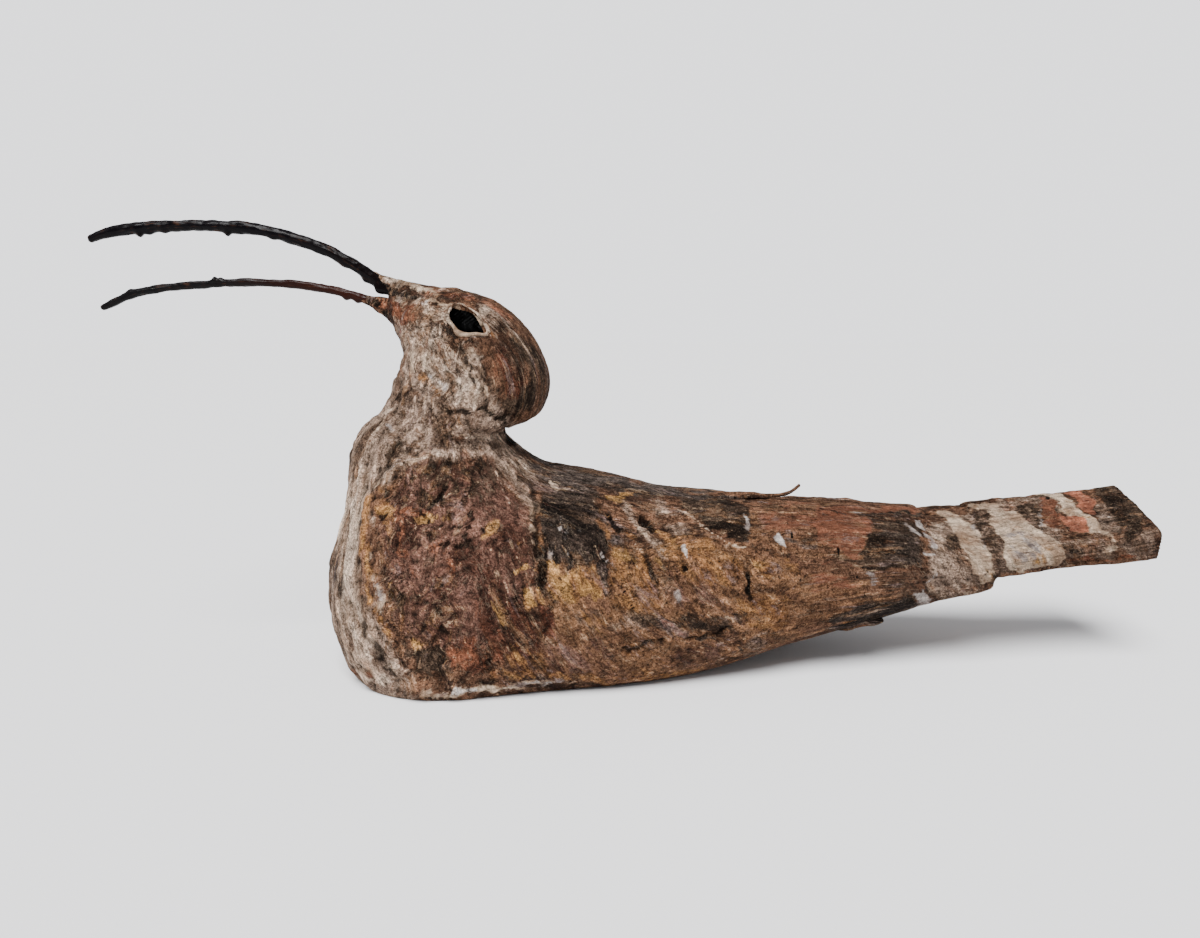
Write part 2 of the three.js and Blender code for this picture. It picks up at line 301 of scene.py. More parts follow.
def mark(words: list[str]) -> Mark:
    """Reads a mark from its row: its sizes, the word both if the far side has it too, and its points.

    Args:
        words: The row's words. A stroke has four sizes: half its width at its start and at its end,
            the fade of its edge and its power. A patch has the last two. A point is x,y in the view.

    Returns:
        The mark.
    """
    points = tuple(float(value) for word in words if "," in word for value in word.split(","))
    *half, soft, power = (float(word) for word in words if "," not in word and word != "both")
    start, end = half or (0.0, 0.0)
    return Mark(points, (start, end), soft, power, not half, "both" in words)


def marks(table: str) -> tuple[Mark, ...]:
    """The marks of a table, one in each row."""
    return tuple(mark(words) for words in rows(table))


class Coat(Enum):
    """The layers of colour, from the lowest to the topmost. The dark coat is partly painted shade in cracks
    and gaps, and the hole coat is painted shade in holes.
    """

    TAN = "tan"
    GREY = "grey"
    BEIGE = "beige"
    PLUM = "plum"
    OCHRE = "ochre"
    RUST = "rust"
    TERRACOTTA = "terracotta"
    UMBER = "umber"
    SLATE = "slate"
    CREAM = "cream"
    YELLOW = "yellow"
    SALMON = "salmon"
    # Dark paint, and painted shade in cracks, gaps and under ledges.
    DARK_AND_CRACK_SHADE = "dark_and_crack_shade"
    PALE = "pale"
    # Painted shade in small holes and pits.
    HOLE_SHADE = "hole_shade"


MARKS: dict[Coat, tuple[Mark, ...]] = {
    Coat.TAN: marks("""
    12 .85 both 555,560 620,545 700,530 760,545 800,560 850,575 900,600 880,618 820,632 740,665 660,684
        560,684 530,670 545,620
    10 .7 both 690,520 740,548 800,560 870,565 866,512 800,500 740,505
    4 .8 1072,534 1103,534 1104,547 1076,548
    5 .7 both 540,462 560,466 590,500 560,490 540,488
    """),
    Coat.GREY: marks("""
    8 1 both 384,318 388,344 372,376 342,412 322,450 306,520 294,590 302,650 340,704 420,704 398,660 380,620
        366,570 366,520 378,486 430,462 470,460 508,466 530,450 520,436 500,404 470,380 446,348 430,322
    6 .8 both 486,456 508,452 540,476 536,510 520,500 505,476
    6 .85 both 927,520 960,515 1000,500 1060,492 1064,566 1000,575 985,590 930,606
    5 .7 613,612 647,612 645,628 613,626
    5 .7 571,608 601,608 600,630 574,630
    5 .7 744,631 767,628 764,652 746,656
    4 5 4 .85 624,506 640,526 664,554
    5 5 5 .7 656,500 672,520 690,545
    2 2 3 .7 575,530 590,548 600,560
    5 .5 557,496 575,498 566,520 556,512
    6 .8 both 1056,540 1110,536 1156,528 1156,560 1060,562
    3 1 both 1094,502 1106,506 1118,532 1100,536
    5 .8 1002,501 1032,500 1044,528 1026,520
    5 .6 962,512 985,514 1000,540 985,545
    3 3 4 .5 552,548 566,558 584,566
    12 .35 455,525 478,500 500,520 490,560 470,600 440,600
    """),
    Coat.BEIGE: marks("""
    14 .78 both 398,294 424,296 446,306 446,330 456,345 478,350 500,410 478,415 452,405 436,395 424,380
        410,350 404,325
    6 .9 both 336,560 340,520 350,480 362,460 368,500 360,540 358,600 372,660 392,684 366,684 344,650 332,610
    2 1 both 366,268 384,269 404,275 404,287 392,288 380,282 368,275
    3 3 3 .8 both 391,408 374,438 358,468
    4 4 3 .9 both 404,452 392,462 384,474
    3 3 3 .7 both 372,474 362,500 358,540
    6 7 5 .7 both 350,560 348,600 356,640
    6 6 4 .7 both 356,612 376,648 404,680
    8 6 5 .7 both 470,396 490,412
    6 5 5 .7 390,470 402,462
    4 .6 472,304 492,306 504,322 500,338 488,330 474,316
    8 6 6 .75 both 470,436 500,440 522,462 534,474
    2 2 3 .6 436,287 462,291 494,305
    7 7 5 .7 both 936,520 940,560 934,590
    4 3 4 .8 both 371,522 371,498 385,480 405,463 431,456 448,456
    3 3 5 .5 both 448,456 486,458
    2.5 2 3 .7 476,300 500,314 520,336 534,360
    2 2 3 .6 470,306 492,316 508,332
    2 2 3 .5 505,345 512,352 516,364
    5 4 6 .6 505,402 520,408 534,404
    2.5 1.5 3 .5 556,470 580,478 610,484
    5 6 5 .4 690,522 716,540 740,560
    """),
    Coat.PLUM: marks("""
    8 1 both 384,500 402,474 432,462 470,458 500,466 520,490 530,530 532,566 524,590 516,620 500,640 470,652
        440,655 410,640 398,618 392,590 386,560 382,530
    4 .7 578,504 592,506 604,540 590,540
    6 .7 678,641 724,641 724,664 662,668
    8 .5 656,560 700,566 720,606 680,610 664,590
    9 .6 both 540,640 600,636 620,676 545,680
    3 1 748,614 757,614 757,626 748,626
    4 .7 760,516 784,516 776,532 762,528
    """),
    Coat.OCHRE: marks("""
    3 .9 590,511 601,511 604,548 592,545
    7 .8 613,563 662,570 668,612 610,614
    8 .8 656,548 690,537 722,560 735,590 690,585
    7 .8 both 730,602 791,600 792,622 740,632
    8 .5 both 740,556 800,560 800,580 745,590
    4 4 4 .8 both 494,672 560,675 640,681 700,670
    5 4 4 .85 both 371,500 367,530 368,552 372,575
    7 6 5 .6 424,376 436,390
    4 3 3 .9 490,333 500,336
    5 4 5 .6 386,494 420,478
    5 5 5 .5 400,622 415,645
    5 .4 540,500 548,560 538,590 528,560
    5 .9 524,590 544,590 544,612 524,612
    4 4 4 .8 366,585 370,604
    5 4 4 .8 376,610 392,634
    4 3 3 .7 843,622 889,622
    8 .5 both 620,640 660,650 700,676 620,682
    4 6 4 .9 664,534 680,552 696,574
    6 5 5 .8 700,540 724,556 740,572
    4 4 4 .8 628,534 640,552 652,580
    3 3 3 .8 599,508 610,540 622,566
    5 5 6 .7 566,600 580,616 600,622
    8 .7 500,650 530,640 560,655 540,674 505,672
    5 5 6 .5 392,500 420,492 446,498
    5 .7 380,500 396,496 400,520 392,545 380,530
    """),
    Coat.RUST: marks("""
    10 .6 both 478,592 520,600 552,640 540,662 500,662 468,634
    9 .45 both 384,520 404,512 420,540 408,572 392,570
    4 6 5 .6 both 424,294 455,293 489,302 512,318
    6 .7 both 487,349 505,352 516,379 500,384 488,370
    4 .95 both 500,379 531,380 532,395 503,397
    5 .9 both 446,640 470,636 495,642 512,650 500,673 448,673
    4 .95 both 538,603 556,606 557,630 538,636
    1.6 1.6 2 1 522,588 534,582 547,588 552,601 547,613 534,619 522,613 518,601 522,588
    6 .8 both 516,606 560,612 552,640 520,644 508,624
    9 .5 470,560 500,556 506,590 478,600
    8 .5 428,520 450,528 446,560 424,552
    4 3 4 .7 412,564 420,577
    6 4 5 .6 450,562 462,580
    4 9 3 1 both 368,300 384,306 398,312 408,312
    5 4 5 .7 both 404,322 412,306
    2 2 2 .9 both 1066,561 1100,560 1137,558
    3 4 2 1 both 360,294 372,297 388,299
    4 4 3 .9 both 366,300 378,308 390,320
    4 3 4 .5 1062,536 1080,538 1096,544
    1.6 1.2 2 1 613,485 641,486
    4 4 4 .7 433,337 443,356
    2 2 2 .6 both 740,504 800,507
    3 3 3 .8 404,512 432,515
    2 2 3 .7 372,510 369,530
    7 6 5 .5 1006,502 1030,516
    4 4 4 .6 516,398 530,404
    """),
    Coat.TERRACOTTA: marks("""
    2.5 1 816,512 850,511 872,522 872,534 862,545 857,560 848,556 836,549 820,541 812,526
    6 .6 both 760,514 784,512 818,513 822,541 800,536 784,541 768,530
    4 3 3 .9 both 822,509 870,511 914,509
    3 3 3 .5 352,666 372,684
    4 3 4 .5 both 790,503 846,502
    4 3 4 .5 404,304 412,318
    4 1 both 1039,499 1056,506 1070,530 1046,526
    8 .6 806,566 850,572 856,596 816,592
    3 2.5 2 .9 both 884,508 918,509
    5 4 4 .5 820,560 852,566
    """),
    Coat.UMBER: marks("""
    4 6 4 .8 both 358,297 372,303 386,314
    5 .9 both 505,335 520,336 540,352 546,380 542,398 530,410 505,417 498,402 516,396 526,380 516,360
    8 .62 both 420,461 486,458 509,466 507,484 480,474 440,477 420,474
    8 6 6 .5 432,478 460,486
    7 .5 412,534 438,530 438,566 416,566
    10 .55 both 398,472 440,464 500,468 514,500 480,508 440,512 408,500
    7 .5 both 846,574 922,566 920,606 860,606
    5 1 both 408,650 446,646 450,674 420,674
    6 .6 391,592 431,588 431,607 395,606
    2.5 1 672,496 720,498 752,504 752,520 750,546 735,543 712,530 690,514
    6 1 690,502 730,504 748,520 744,540 716,528
    4 .95 both 872,524 900,522 922,526 923,566 898,569 868,572 856,562
    6 7 6 .8 both 632,617 660,620 700,623 739,622
    3 .95 both 1092,488 1118,485 1142,510 1142,534 1124,538 1116,524 1104,506
    2.5 .95 943,534 962,532 966,548 946,550
    4 .8 1007,503 1038,502 1040,526 1020,518
    3 .7 both 970,515 990,512 1001,530 1005,552 998,562 985,542
    4 4 3 .95 1068,551 1096,552
    4 5 4 .9 399,441 387,462
    3 3 3 .9 405,390 396,402
    4 .6 402,385 416,385 416,403 404,403
    4 .9 both 540,490 596,486 604,540 592,566 545,566
    4 4 4 .7 455,343 463,355
    1.5 1.5 2 .9 482,366 494,395
    4 4 3 .7 402,296 416,297
    5 4 4 .6 418,320 430,326
    4 5 4 .6 784,540 816,546
    4 4 4 .8 both 336,560 336,600
    3 3 3 .6 both 366,420 350,455
    5 5 5 .5 both 380,660 400,690
    4 .7 384,489 402,489 402,503 386,505
    """),
    Coat.SLATE: marks("""
    4 .9 both 528,450 556,464 600,474 650,482 700,490 744,495 744,500 700,500 660,496 640,500 600,492 566,492
        546,486 524,462
    4 3 4 .7 522,353 531,365
    3 4 4 .6 786,541 816,545
    3 3 3 .7 416,317 428,321
    4 4 5 .4 680,516 700,536
    4 3 4 .6 both 334,575 342,600
    3 3 3 .5 600,505 614,545
    """),
    Coat.CREAM: marks("""
    2.5 2 3 .8 both 376,492 385,480 396,470
    1.5 1.5 2 .6 both 404,463 431,457
    3.5 3 4 .7 both 376,572 380,600 385,630
    2.5 3 4 .6 both 372,540 374,560
    1.8 2 2 1 both 427,301 436,304 448,305 458,303
    2.5 2.5 3 .8 both 447,309 446,322
    2 2 1.5 1 both 458,303 470,313 487,330
    3 2 5 .6 both 470,350 478,372 489,396
    2.5 2.5 4 .7 447,346 456,358 466,369
    4 4 5 .6 both 423,356 432,372 441,392
    3 3 4 .6 both 412,352 418,372
    4 4 3 .8 461,379 471,389
    4 5 4 .85 both 392,276 410,282 430,290
    2 2.5 2 .8 both 372,270 384,273 394,277
    1.2 1.2 1.4 1 679,511 699,527 722,540 744,551
    1.6 1.5 2 .8 625,510 637,526 650,542 663,551
    1 1 1.5 .7 632,542 647,551
    1 1 1.5 .9 496,473 505,490 513,506
    1.3 1 1.5 .8 540,476 558,488
    1.5 1 2 .7 527,488 531,510 530,545
    4 1.5 3 .9 both 424,693 448,693 477,689 505,686 530,684 559,682 574,682
    3 1 both 936,509 950,511 966,523 980,535 990,555 998,575 985,586 972,570 962,548 950,528
    3 1 both 984,505 1014,509 1036,527 1061,549 1063,565 1025,571 1007,567 1005,541 996,524
    4 5.5 2 1 both 1047,496 1066,504 1082,516 1097,529
    3 .8 both 962,503 1000,500 1004,511 974,513
    2 2 3 .8 1089,532 1105,531 1117,541
    2.5 2.5 3 .7 1096,552 1118,547
    2 1.5 3 .5 528,500 534,540
    1.2 1.2 1.5 1 862,625 884,622
    6 5 6 .5 both 930,560 950,590 980,590
    """),
    Coat.YELLOW: marks("""
    2.5 1 549,566 558,564 560,580 566,566 571,574 579,565 588,569 596,564 603,578 606,596 597,604 590,592
        580,603 572,608 564,594 556,600 550,588
    4 2 3 1 609,503 618,500 638,494
    6 .8 608,545 620,541 630,548 634,560 618,564
    5 4 3 .9 382,513 398,511
    3 5 3 .9 416,520 432,517 446,514
    4 3 3 .9 480,540 488,532 497,525
    2.5 2.5 2 .9 370,556 371,566
    3 3 3 .8 514,541 519,548
    3 3 3 .6 436,546 441,552
    2 2 2 .9 390,585 390,600
    2 2 2 .8 367,584 368,602
    2.5 2 2 .9 386,620 392,632
    3 2 3 .9 413,642 430,649
    2.2 2 2 .9 515,573 524,569 533,572
    2.5 2.5 3 .9 both 367,540 369,560
    4 3 4 .8 656,558 667,567
    4 3 3 .7 673,543 682,549
    4 4 2 .8 757,564 766,563
    4 3 3 .9 519,657 530,663
    3 2 3 .7 492,648 508,650
    4 .5 1034,547 1054,548 1054,562 1036,562
    6 5 5 .5 976,562 992,575
    3 3 3 .5 1064,504 1092,524
    3 3 2 .9 549,566 551,588
    3 1 523,590 541,587 547,600 540,613 526,608
    4 5 5 .5 494,604 506,622
    4 4 5 .5 496,640 520,650
    4 3 4 .5 598,628 612,634
    1.5 1.5 2 .7 500,676 556,677
    3 2 2 .6 606,516 610,528
    3 3 3 .6 652,526 664,536
    """),
    Coat.SALMON: marks("""
    2.5 1 both 1058,489 1078,487 1094,503 1094,516 1078,505
    2.5 1 1060,511 1082,518 1093,533 1071,534
    3 2 3 .5 1048,506 1062,518
    """),
    # Dark paint, and painted shade: many of these marks lie in cuts and gaps, and under the splinter, the
    # plank's edge and the eye's lid.
    Coat.DARK_AND_CRACK_SHADE: marks("""
    2.5 .95 both 540,494 560,490 584,491 592,506 600,536 606,560 611,590 607,598 600,575 594,561 588,567
        579,562 571,571 563,562 556,565 549,557 541,562 538,530
    4 .9 both 540,492 556,490 562,506 552,520 540,514
    4 3 3 .9 586,494 598,530 606,560
    2.5 2 2 .8 560,520 566,560 570,570
    3 2 2 .8 548,522 550,556
    6 .85 both 880,530 921,538 921,564 890,566
    3 1 both 825,618 850,610 880,602 905,596 914,602 912,617 880,622 850,630 828,631
    2.5 2 1.5 1 607,517 620,531
    2.5 2 1.5 1 643,519 653,530
    1 1 1.5 1 425,474 437,467
    2.5 1.5 1.5 1 432,506 440,499 448,487
    1.8 1.2 2 .8 601,548 612,597
    1.6 1 2 .9 647,556 653,580 666,599
    3 4 3 .7 both 402,293 416,297
    2.5 2.5 2 1 both 366,275 376,281 386,288 400,293 412,296
    1.8 1.2 1.6 1 448,327 457,338 470,341
    1.1 1.2 1.2 1 both 822,514 870,515 926,513
    1.3 1 1.2 1 both 739,501 776,500
    2 1.5 2 1 487,413 500,420
    1.3 1.3 1.5 1 453,412 460,414
    5 4 5 .6 1112,506 1132,524
    3 3 3 .7 866,518 900,522
    1 1 1.5 .9 571,478 587,483
    1.2 1 1.5 .9 598,482 613,487
    1.3 1 1.5 .9 549,465 561,468
    1.2 1 1.4 1 623,649 640,645 662,641
    1.3 1 1.4 1 687,638 716,636 733,628
    .8 .8 1.2 1 727,641 744,652
    2 1.5 2 .8 828,557 838,556
    3 3 3 .8 both 590,508 600,530 606,560
    1.5 1.5 2 .8 512,590 520,582
    1 1 1.2 1 982,575 988,572
    2 1.5 2 .8 996,574 997,583
    3 3 2 1 both 507,430 514,442
    4 4 5 .5 both 519,350 530,374
    4 4 4 .6 430,664 446,670
    """),
    Coat.PALE: marks("""
    2.5 1 both 374,580 384,580 385,600 376,602
    2 2 2 1 905,528 912,534 920,542
    2.5 2.5 2.5 1 917,521 924,532 935,548
    2 2 2 1 925,556 935,557
    2 2 2 .8 927,584 941,575
    2.5 .95 913,591 928,589 929,606 914,609
    2.5 .85 863,569 872,568 878,582 868,587
    2.8 .8 1.6 1 745,518 748,526 751,533
    1.8 1 779,531 783,540 787,550 779,546 773,538
    3 3 4 .6 752,513 766,516
    2 1 1.6 1 683,548 686,556 687,562
    2 .85 674,591 680,592 682,603 676,609 672,602
    4 4 5 .5 746,634 762,636
    1 1 1.4 .9 490,336 500,345 510,357
    2 1.5 1.6 1 471,335 487,337
    4 4 4 .6 972,528 982,548
    5 .55 1005,530 1030,530 1048,550 1030,562 1010,560
    4 3 3 .8 both 448,688 477,690
    1.6 1.6 2 .9 both 507,685 560,683
    2.5 2 3 .8 433,373 440,380 448,389
    1.3 1 1.6 .8 601,554 606,563
    6 .25 448,500 460,500 460,527 450,527
    1.2 1 2 .7 477,515 478,527
    1.4 1 1.6 .7 1040,508 1043,535
    1.5 1.2 2 .7 556,518 560,540
    1.4 1.8 3 .55 549,528 551,540 550,558
    1.4 2 3 .55 565,526 568,538 568,556
    1.6 1.6 3 .5 579,530 583,542 586,558
    4 .35 1092,508 1106,508 1115,530 1102,530
    1.2 1 1.5 .6 572,545 575,560
    1.4 1 1.8 .6 584,540 590,558
    3 3 3 .7 both 416,308 424,302
    3 3 4 .6 393,466 402,456
    4 4 5 .4 412,330 414,345
    4 4 5 .4 both 344,610 362,640
    2 2 2 .7 388,425 391,429
    """),
    # Painted shade: near-black painted into small holes and pits, as their depth would look.
    Coat.HOLE_SHADE: marks("""
    3.2 2.4 1.2 1 543,568 543,580
    2 2 1.2 1 686,567 687,569
    1.6 1.6 1.2 1 749,577 750,583 750,596
    1.4 1.4 1 1 791,534 791,537
    1.5 1.3 1 1 838,549 839,554
    1.3 1.3 1 1 856,576 856,577
    1.3 1.3 1 1 800,579 800,580
    1.3 1.1 1 1 624,590 627,593
    1.3 1.3 1 1 632,605 635,608
    1 1 1 1 627,601 628,602
    2.6 2.6 1.6 1 both 508,431 513,440
    1.6 1.4 1.2 1 1046,500 1048,500
    1.6 1.4 1.2 1 615,536 617,538
    1.4 1.4 1.2 1 610,519 617,528
    1.4 1.2 1.2 1 645,520 651,527
    1.4 1 1.2 1 436,503 444,493
    1.3 1.3 1 1 490,415 492,416
    1.3 1.3 1 1 497,418 498,420
    """),
}


@dataclass(frozen=True)
class Cut:
    """A groove, or with a height above zero a ridge, along a mark."""

    mark: Mark
    height: float


def cuts(table: str) -> tuple[Cut, ...]:
    """The cuts of a table: in each row the height in millimetres, and then a mark."""
    return tuple(Cut(mark(words), float(height) * MM) for height, *words in rows(table))


CUTS: tuple[Cut, ...] = cuts("""
    1.5 4 4 5 1 both 371,620 366,580 365,545 369,520 372,498 386,480 406,464 431,456 460,455 490,456
    .8 4 3 6 1 both 486,456 510,462 526,482
    1.2 4 1 both 374,578 386,578 386,602 376,604
    -1.2 3 3 4 1 both 533,488 534,540 540,590
    -3.5 3 3 3 1 543,568 543,580
    -3 2.5 2 3 1 607,517 620,531
    -3 2.5 2 3 1 643,519 653,530
    -1.2 1 1 3 1 425,474 437,467
    -2.4 2 2 3 1 432,506 440,499 448,487
    -2 1.5 1.5 3 1 749,577 750,596
    -2 1.5 1.5 3 1 686,567 687,569
    -1.6 1 1.5 3 1 both 822,514 870,516 926,513
    -1 2 1.5 3 1 601,548 612,597
    -1.2 2 1.5 3 1 647,556 653,580 666,599
    -1.4 1.2 1.2 2.5 1 623,649 640,645 662,641
    -1.5 1.2 1.2 2.5 1 687,638 716,636 733,628
    -.8 1 1 2.5 1 727,641 744,652
    -1.2 1.2 1 3 1 both 549,465 561,468 587,483 613,487 641,486
    -1.2 1.5 1.5 4 1 520,588 534,581 548,588 553,601 548,614 534,620 520,614 516,601 520,588
    -1.8 3 3 4 1 both 484,408 490,414 503,420
    -1.2 2 2 4 1 448,410 460,415 470,413
    .8 3 2 3 1 both 468,346 478,372 490,398
    .6 2.5 2 3 1 both 444,346 456,360 468,374
    -.8 2 2 3 1 both 455,340 468,362 480,392
    -.7 2 2 4 1 both 430,340 446,366 462,396
    -1.2 1.5 1.5 2.5 1 448,328 457,339 471,342
    -2 3 3 3 1 both 506,430 513,440
    -1.6 3 2 4 1 both 399,441 387,462 376,490
    -1.3 2 2 4 1 both 380,420 362,450 350,490 344,540
    .9 2 2 4 1 both 392,412 372,444 358,480 352,530
    -1.1 2 2 4 1 both 350,600 366,636 392,672
    -.9 2 2 4 1 both 362,596 378,630 404,664
    -.9 2 2 4 1 both 340,620 352,656 376,686
    .5 3 1 both 1050,497 1066,499 1098,523 1099,532 1070,517
    -.6 2 2 4 1 both 1000,510 1003,545 998,575
    -.8 8 8 14 1 640,560 700,590 760,600
    -.7 1.2 1.2 3.5 1 596,502 604,540 616,592
    .6 1.5 1.5 4 1 612,500 626,526 640,560 650,590
    -.6 1.2 1.2 3.5 1 652,504 668,530 690,566 704,590
    .7 1.2 1.2 3 1 676,510 699,528 722,541 746,552
    -.6 1.2 1.2 3 1 668,604 676,592 690,584
    -.9 1.4 1.4 3.5 1 405,596 424,602 440,612 470,620
    -.9 1.4 1.2 3.5 1 440,566 470,572 500,590 516,604
    -.8 1.4 1.2 3.5 1 398,536 404,560 402,590
    .7 1.4 1.2 3.5 1 456,530 480,540 506,536
    -1 2 1.4 4 1 548,620 540,640 520,650 500,648
    -.7 1.4 1.2 3.5 1 556,616 580,622 600,618
    .8 1.6 1.4 4 1 410,650 440,640 470,644
    .9 7 7 12 1 both 580,620 650,630 730,612
""")

# How far each coat stands above what it lies on, or below it.
CRUST: dict[Coat, float] = {
    Coat.DARK_AND_CRACK_SHADE: 0.5 * MM, Coat.UMBER: 0.25 * MM, Coat.CREAM: 0.3 * MM, Coat.PALE: 0.2 * MM,
    Coat.TERRACOTTA: 0.2 * MM, Coat.YELLOW: -0.25 * MM,
}

STATIONS = np.array([
    # back x, z    under x, z   half  squareness above and below
    [-195, 441, -197, 427, 7, 2, 2], [-190, 452, -196, 411, 20, 2, 2], [-181, 453, -186, 388, 29, 2, 2],
    [-150, 447, -181, 371, 43, 2.1, 2], [-108, 441, -185, 355, 56, 2.2, 2], [-65, 424, -196, 334, 64, 2.2, 2],
    [-29, 389, -203, 316, 69, 2.2, 2.1], [-10, 343, -212, 300, 72, 2.2, 2.1],
    [-19, 301, -226, 289, 74, 2.2, 2.1], [-47, 287, -237, 276, 76, 2.2, 2.1],
    [-66, 280, -244, 262, 79, 2.2, 2.1], [-58, 265, -249, 245, 86, 2.2, 2.2],
    [-41, 249, -254, 214, 101, 2.2, 2.3], [-18, 235, -262, 169, 122, 2.2, 2.4],
    [12, 227, -272, 122, 140, 2.2, 2.6], [49, 222, -269, 70, 152, 2.2, 3], [86, 214, -245, 16, 157, 2.2, 3.8],
    [120, 206, -208, -18, 158, 2.2, 4.6], [150, 201, -144, -24, 155, 2.2, 4.8],
    [185, 197, -44, -19, 147, 2.2, 4.2], [222, 194, 60, -15, 134, 2.2, 3.8],
    [262, 191, 160, -7, 116, 2.3, 3.4], [307, 185, 247, 13, 98, 2.4, 3], [356, 179, 324, 34, 87, 2.6, 2.9],
    [410, 174, 392, 60, 78, 2.8, 3], [468, 163, 460, 89, 72, 3.4, 3.4], [512, 159, 510, 107, 66, 4.4, 4.4],
    [521, 160, 519, 125, 63, 6, 6], [616, 171, 615, 136, 57, 8, 8], [700, 186, 709, 142, 52, 10, 10],
])


def put(mesh: bpy.types.Mesh, name: str, values: np.ndarray) -> None:
    """Stores one number for each vertex under a name."""
    attribute = mesh.attributes.new(name, "FLOAT", "POINT")
    attribute.data.foreach_set("value", values.astype(np.float32))


def put_vector(mesh: bpy.types.Mesh, name: str, values: np.ndarray) -> None:
    """Stores one vector for each vertex under a name."""
    attribute = mesh.attributes.new(name, "FLOAT_VECTOR", "POINT")
    attribute.data.foreach_set("vector", values.astype(np.float32).ravel())


def new_mesh(name: str, vertices: np.ndarray, faces: list[list[int]], grain: np.ndarray) -> bpy.types.Mesh:
    """Makes a smooth mesh.

    Args:
        name: The mesh's name.
        vertices: A point in each row.
        faces: Numbers of the vertices round each face.
        grain: Place of each vertex along and across the wood.

    Returns:
        The mesh, with an attribute for the grain.
    """
    mesh = bpy.data.meshes.new(name)
    mesh.from_pydata(vertices.tolist(), [], faces)
    mesh.polygons.foreach_set("use_smooth", np.ones(len(faces), dtype=bool))
    put_vector(mesh, "grain", grain)
    return mesh


@dataclass
class Shell:
    """A closed surface on a grid: its points, the way they face and how the wood runs along it."""

    points: np.ndarray
    normals: np.ndarray
    grain: np.ndarray

    @property
    def shape(self) -> tuple[int, int]:
        """Rows and columns of the grid."""
        return self.points.shape[:2]

    @classmethod
    def of(cls, points: np.ndarray, grain: np.ndarray) -> "Shell":
        """Works out the normals as the cross product of the steps along and round the grid.

        Args:
            points: Points by row and column.
            grain: Place of each point along and across the wood.

        Returns:
            The shell, its normals pointing outward.
        """
        along = np.gradient(points, axis=0)
        around = np.roll(points, -1, axis=1) - np.roll(points, 1, axis=1)
        normals = np.cross(around, along)
        length = np.linalg.norm(normals, axis=2, keepdims=True)
        normals = normals / np.maximum(length, 1e-12)
        outward = np.einsum("ijk,ijk->", normals, points - points.mean((0, 1)))
        normals = normals * np.sign(outward)
        for row, beside in ((0, 1), (-1, -2)):
            mean = normals[beside].mean(0)
            normals[row] = mean / max(np.linalg.norm(mean), 1e-12)
        return cls(points, normals, grain)

    def raised(self, height: np.ndarray) -> "Shell":
        """The surface moved out by a height along its normals."""
        return Shell.of(self.points + height[..., None] * self.normals, self.grain)

    def mesh(self, name: str) -> bpy.types.Mesh:
        """Closes the grid into a mesh, whose first and last rows are single points.

        Args:
            name: The mesh's name.

        Returns:
            The mesh, its faces turned so that the volume inside is positive.
        """
        rows, columns = self.shape
        vertices = self.flat_rows(self.points)
        inner = (rows - 2) * columns
        index = np.arange(inner).reshape(rows - 2, columns)
        onward = np.roll(index, -1, axis=1)
        quads = np.stack([index[:-1], onward[:-1], onward[1:], index[1:]], axis=-1).reshape(-1, 4)
        first = np.stack([np.full(columns, inner), onward[0], index[0]], axis=-1)
        last = np.stack([np.full(columns, inner + 1), index[-1], onward[-1]], axis=-1)
        a, b, c = (vertices[quads[:, i]] for i in (0, 1, 2))
        volume = np.einsum("ij,ij->", a, np.cross(b, c))
        if volume < 0.0:
            quads, first, last = quads[:, ::-1], first[:, ::-1], last[:, ::-1]
        faces = [face for part in (quads, first, last) for face in part.tolist()]
        return new_mesh(name, vertices, faces, self.flat_rows(self.grain))

    def flat(self, values: np.ndarray) -> np.ndarray:
        """Puts values of the grid in the order of the mesh's vertices."""
        return np.concatenate([values[1:-1].ravel(), values[0, :1], values[-1, :1]])

    def flat_rows(self, vectors: np.ndarray) -> np.ndarray:
        """Puts vectors of the grid in the order of the mesh's vertices."""
        return np.stack([self.flat(vectors[..., i]) for i in range(3)], axis=1)


def add_piece(name: str, mesh: bpy.types.Mesh, material: bpy.types.Material,
              stands_for: str | None = None) -> None:
    """Adds a finished piece to the model.

    Args:
        name: The piece's name.
        mesh: Its mesh, in place.
        material: Its material.
        stands_for: The node that it stands for, if any.
    """
    mesh.materials.append(material)
    piece = bpy.data.objects.new(name, mesh)
    bpy.context.scene.collection.objects.link(piece)
    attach(piece, "root")
    if stands_for:
        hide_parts(stands_for)
    LOG.info("%s: %d faces", name, len(mesh.polygons))


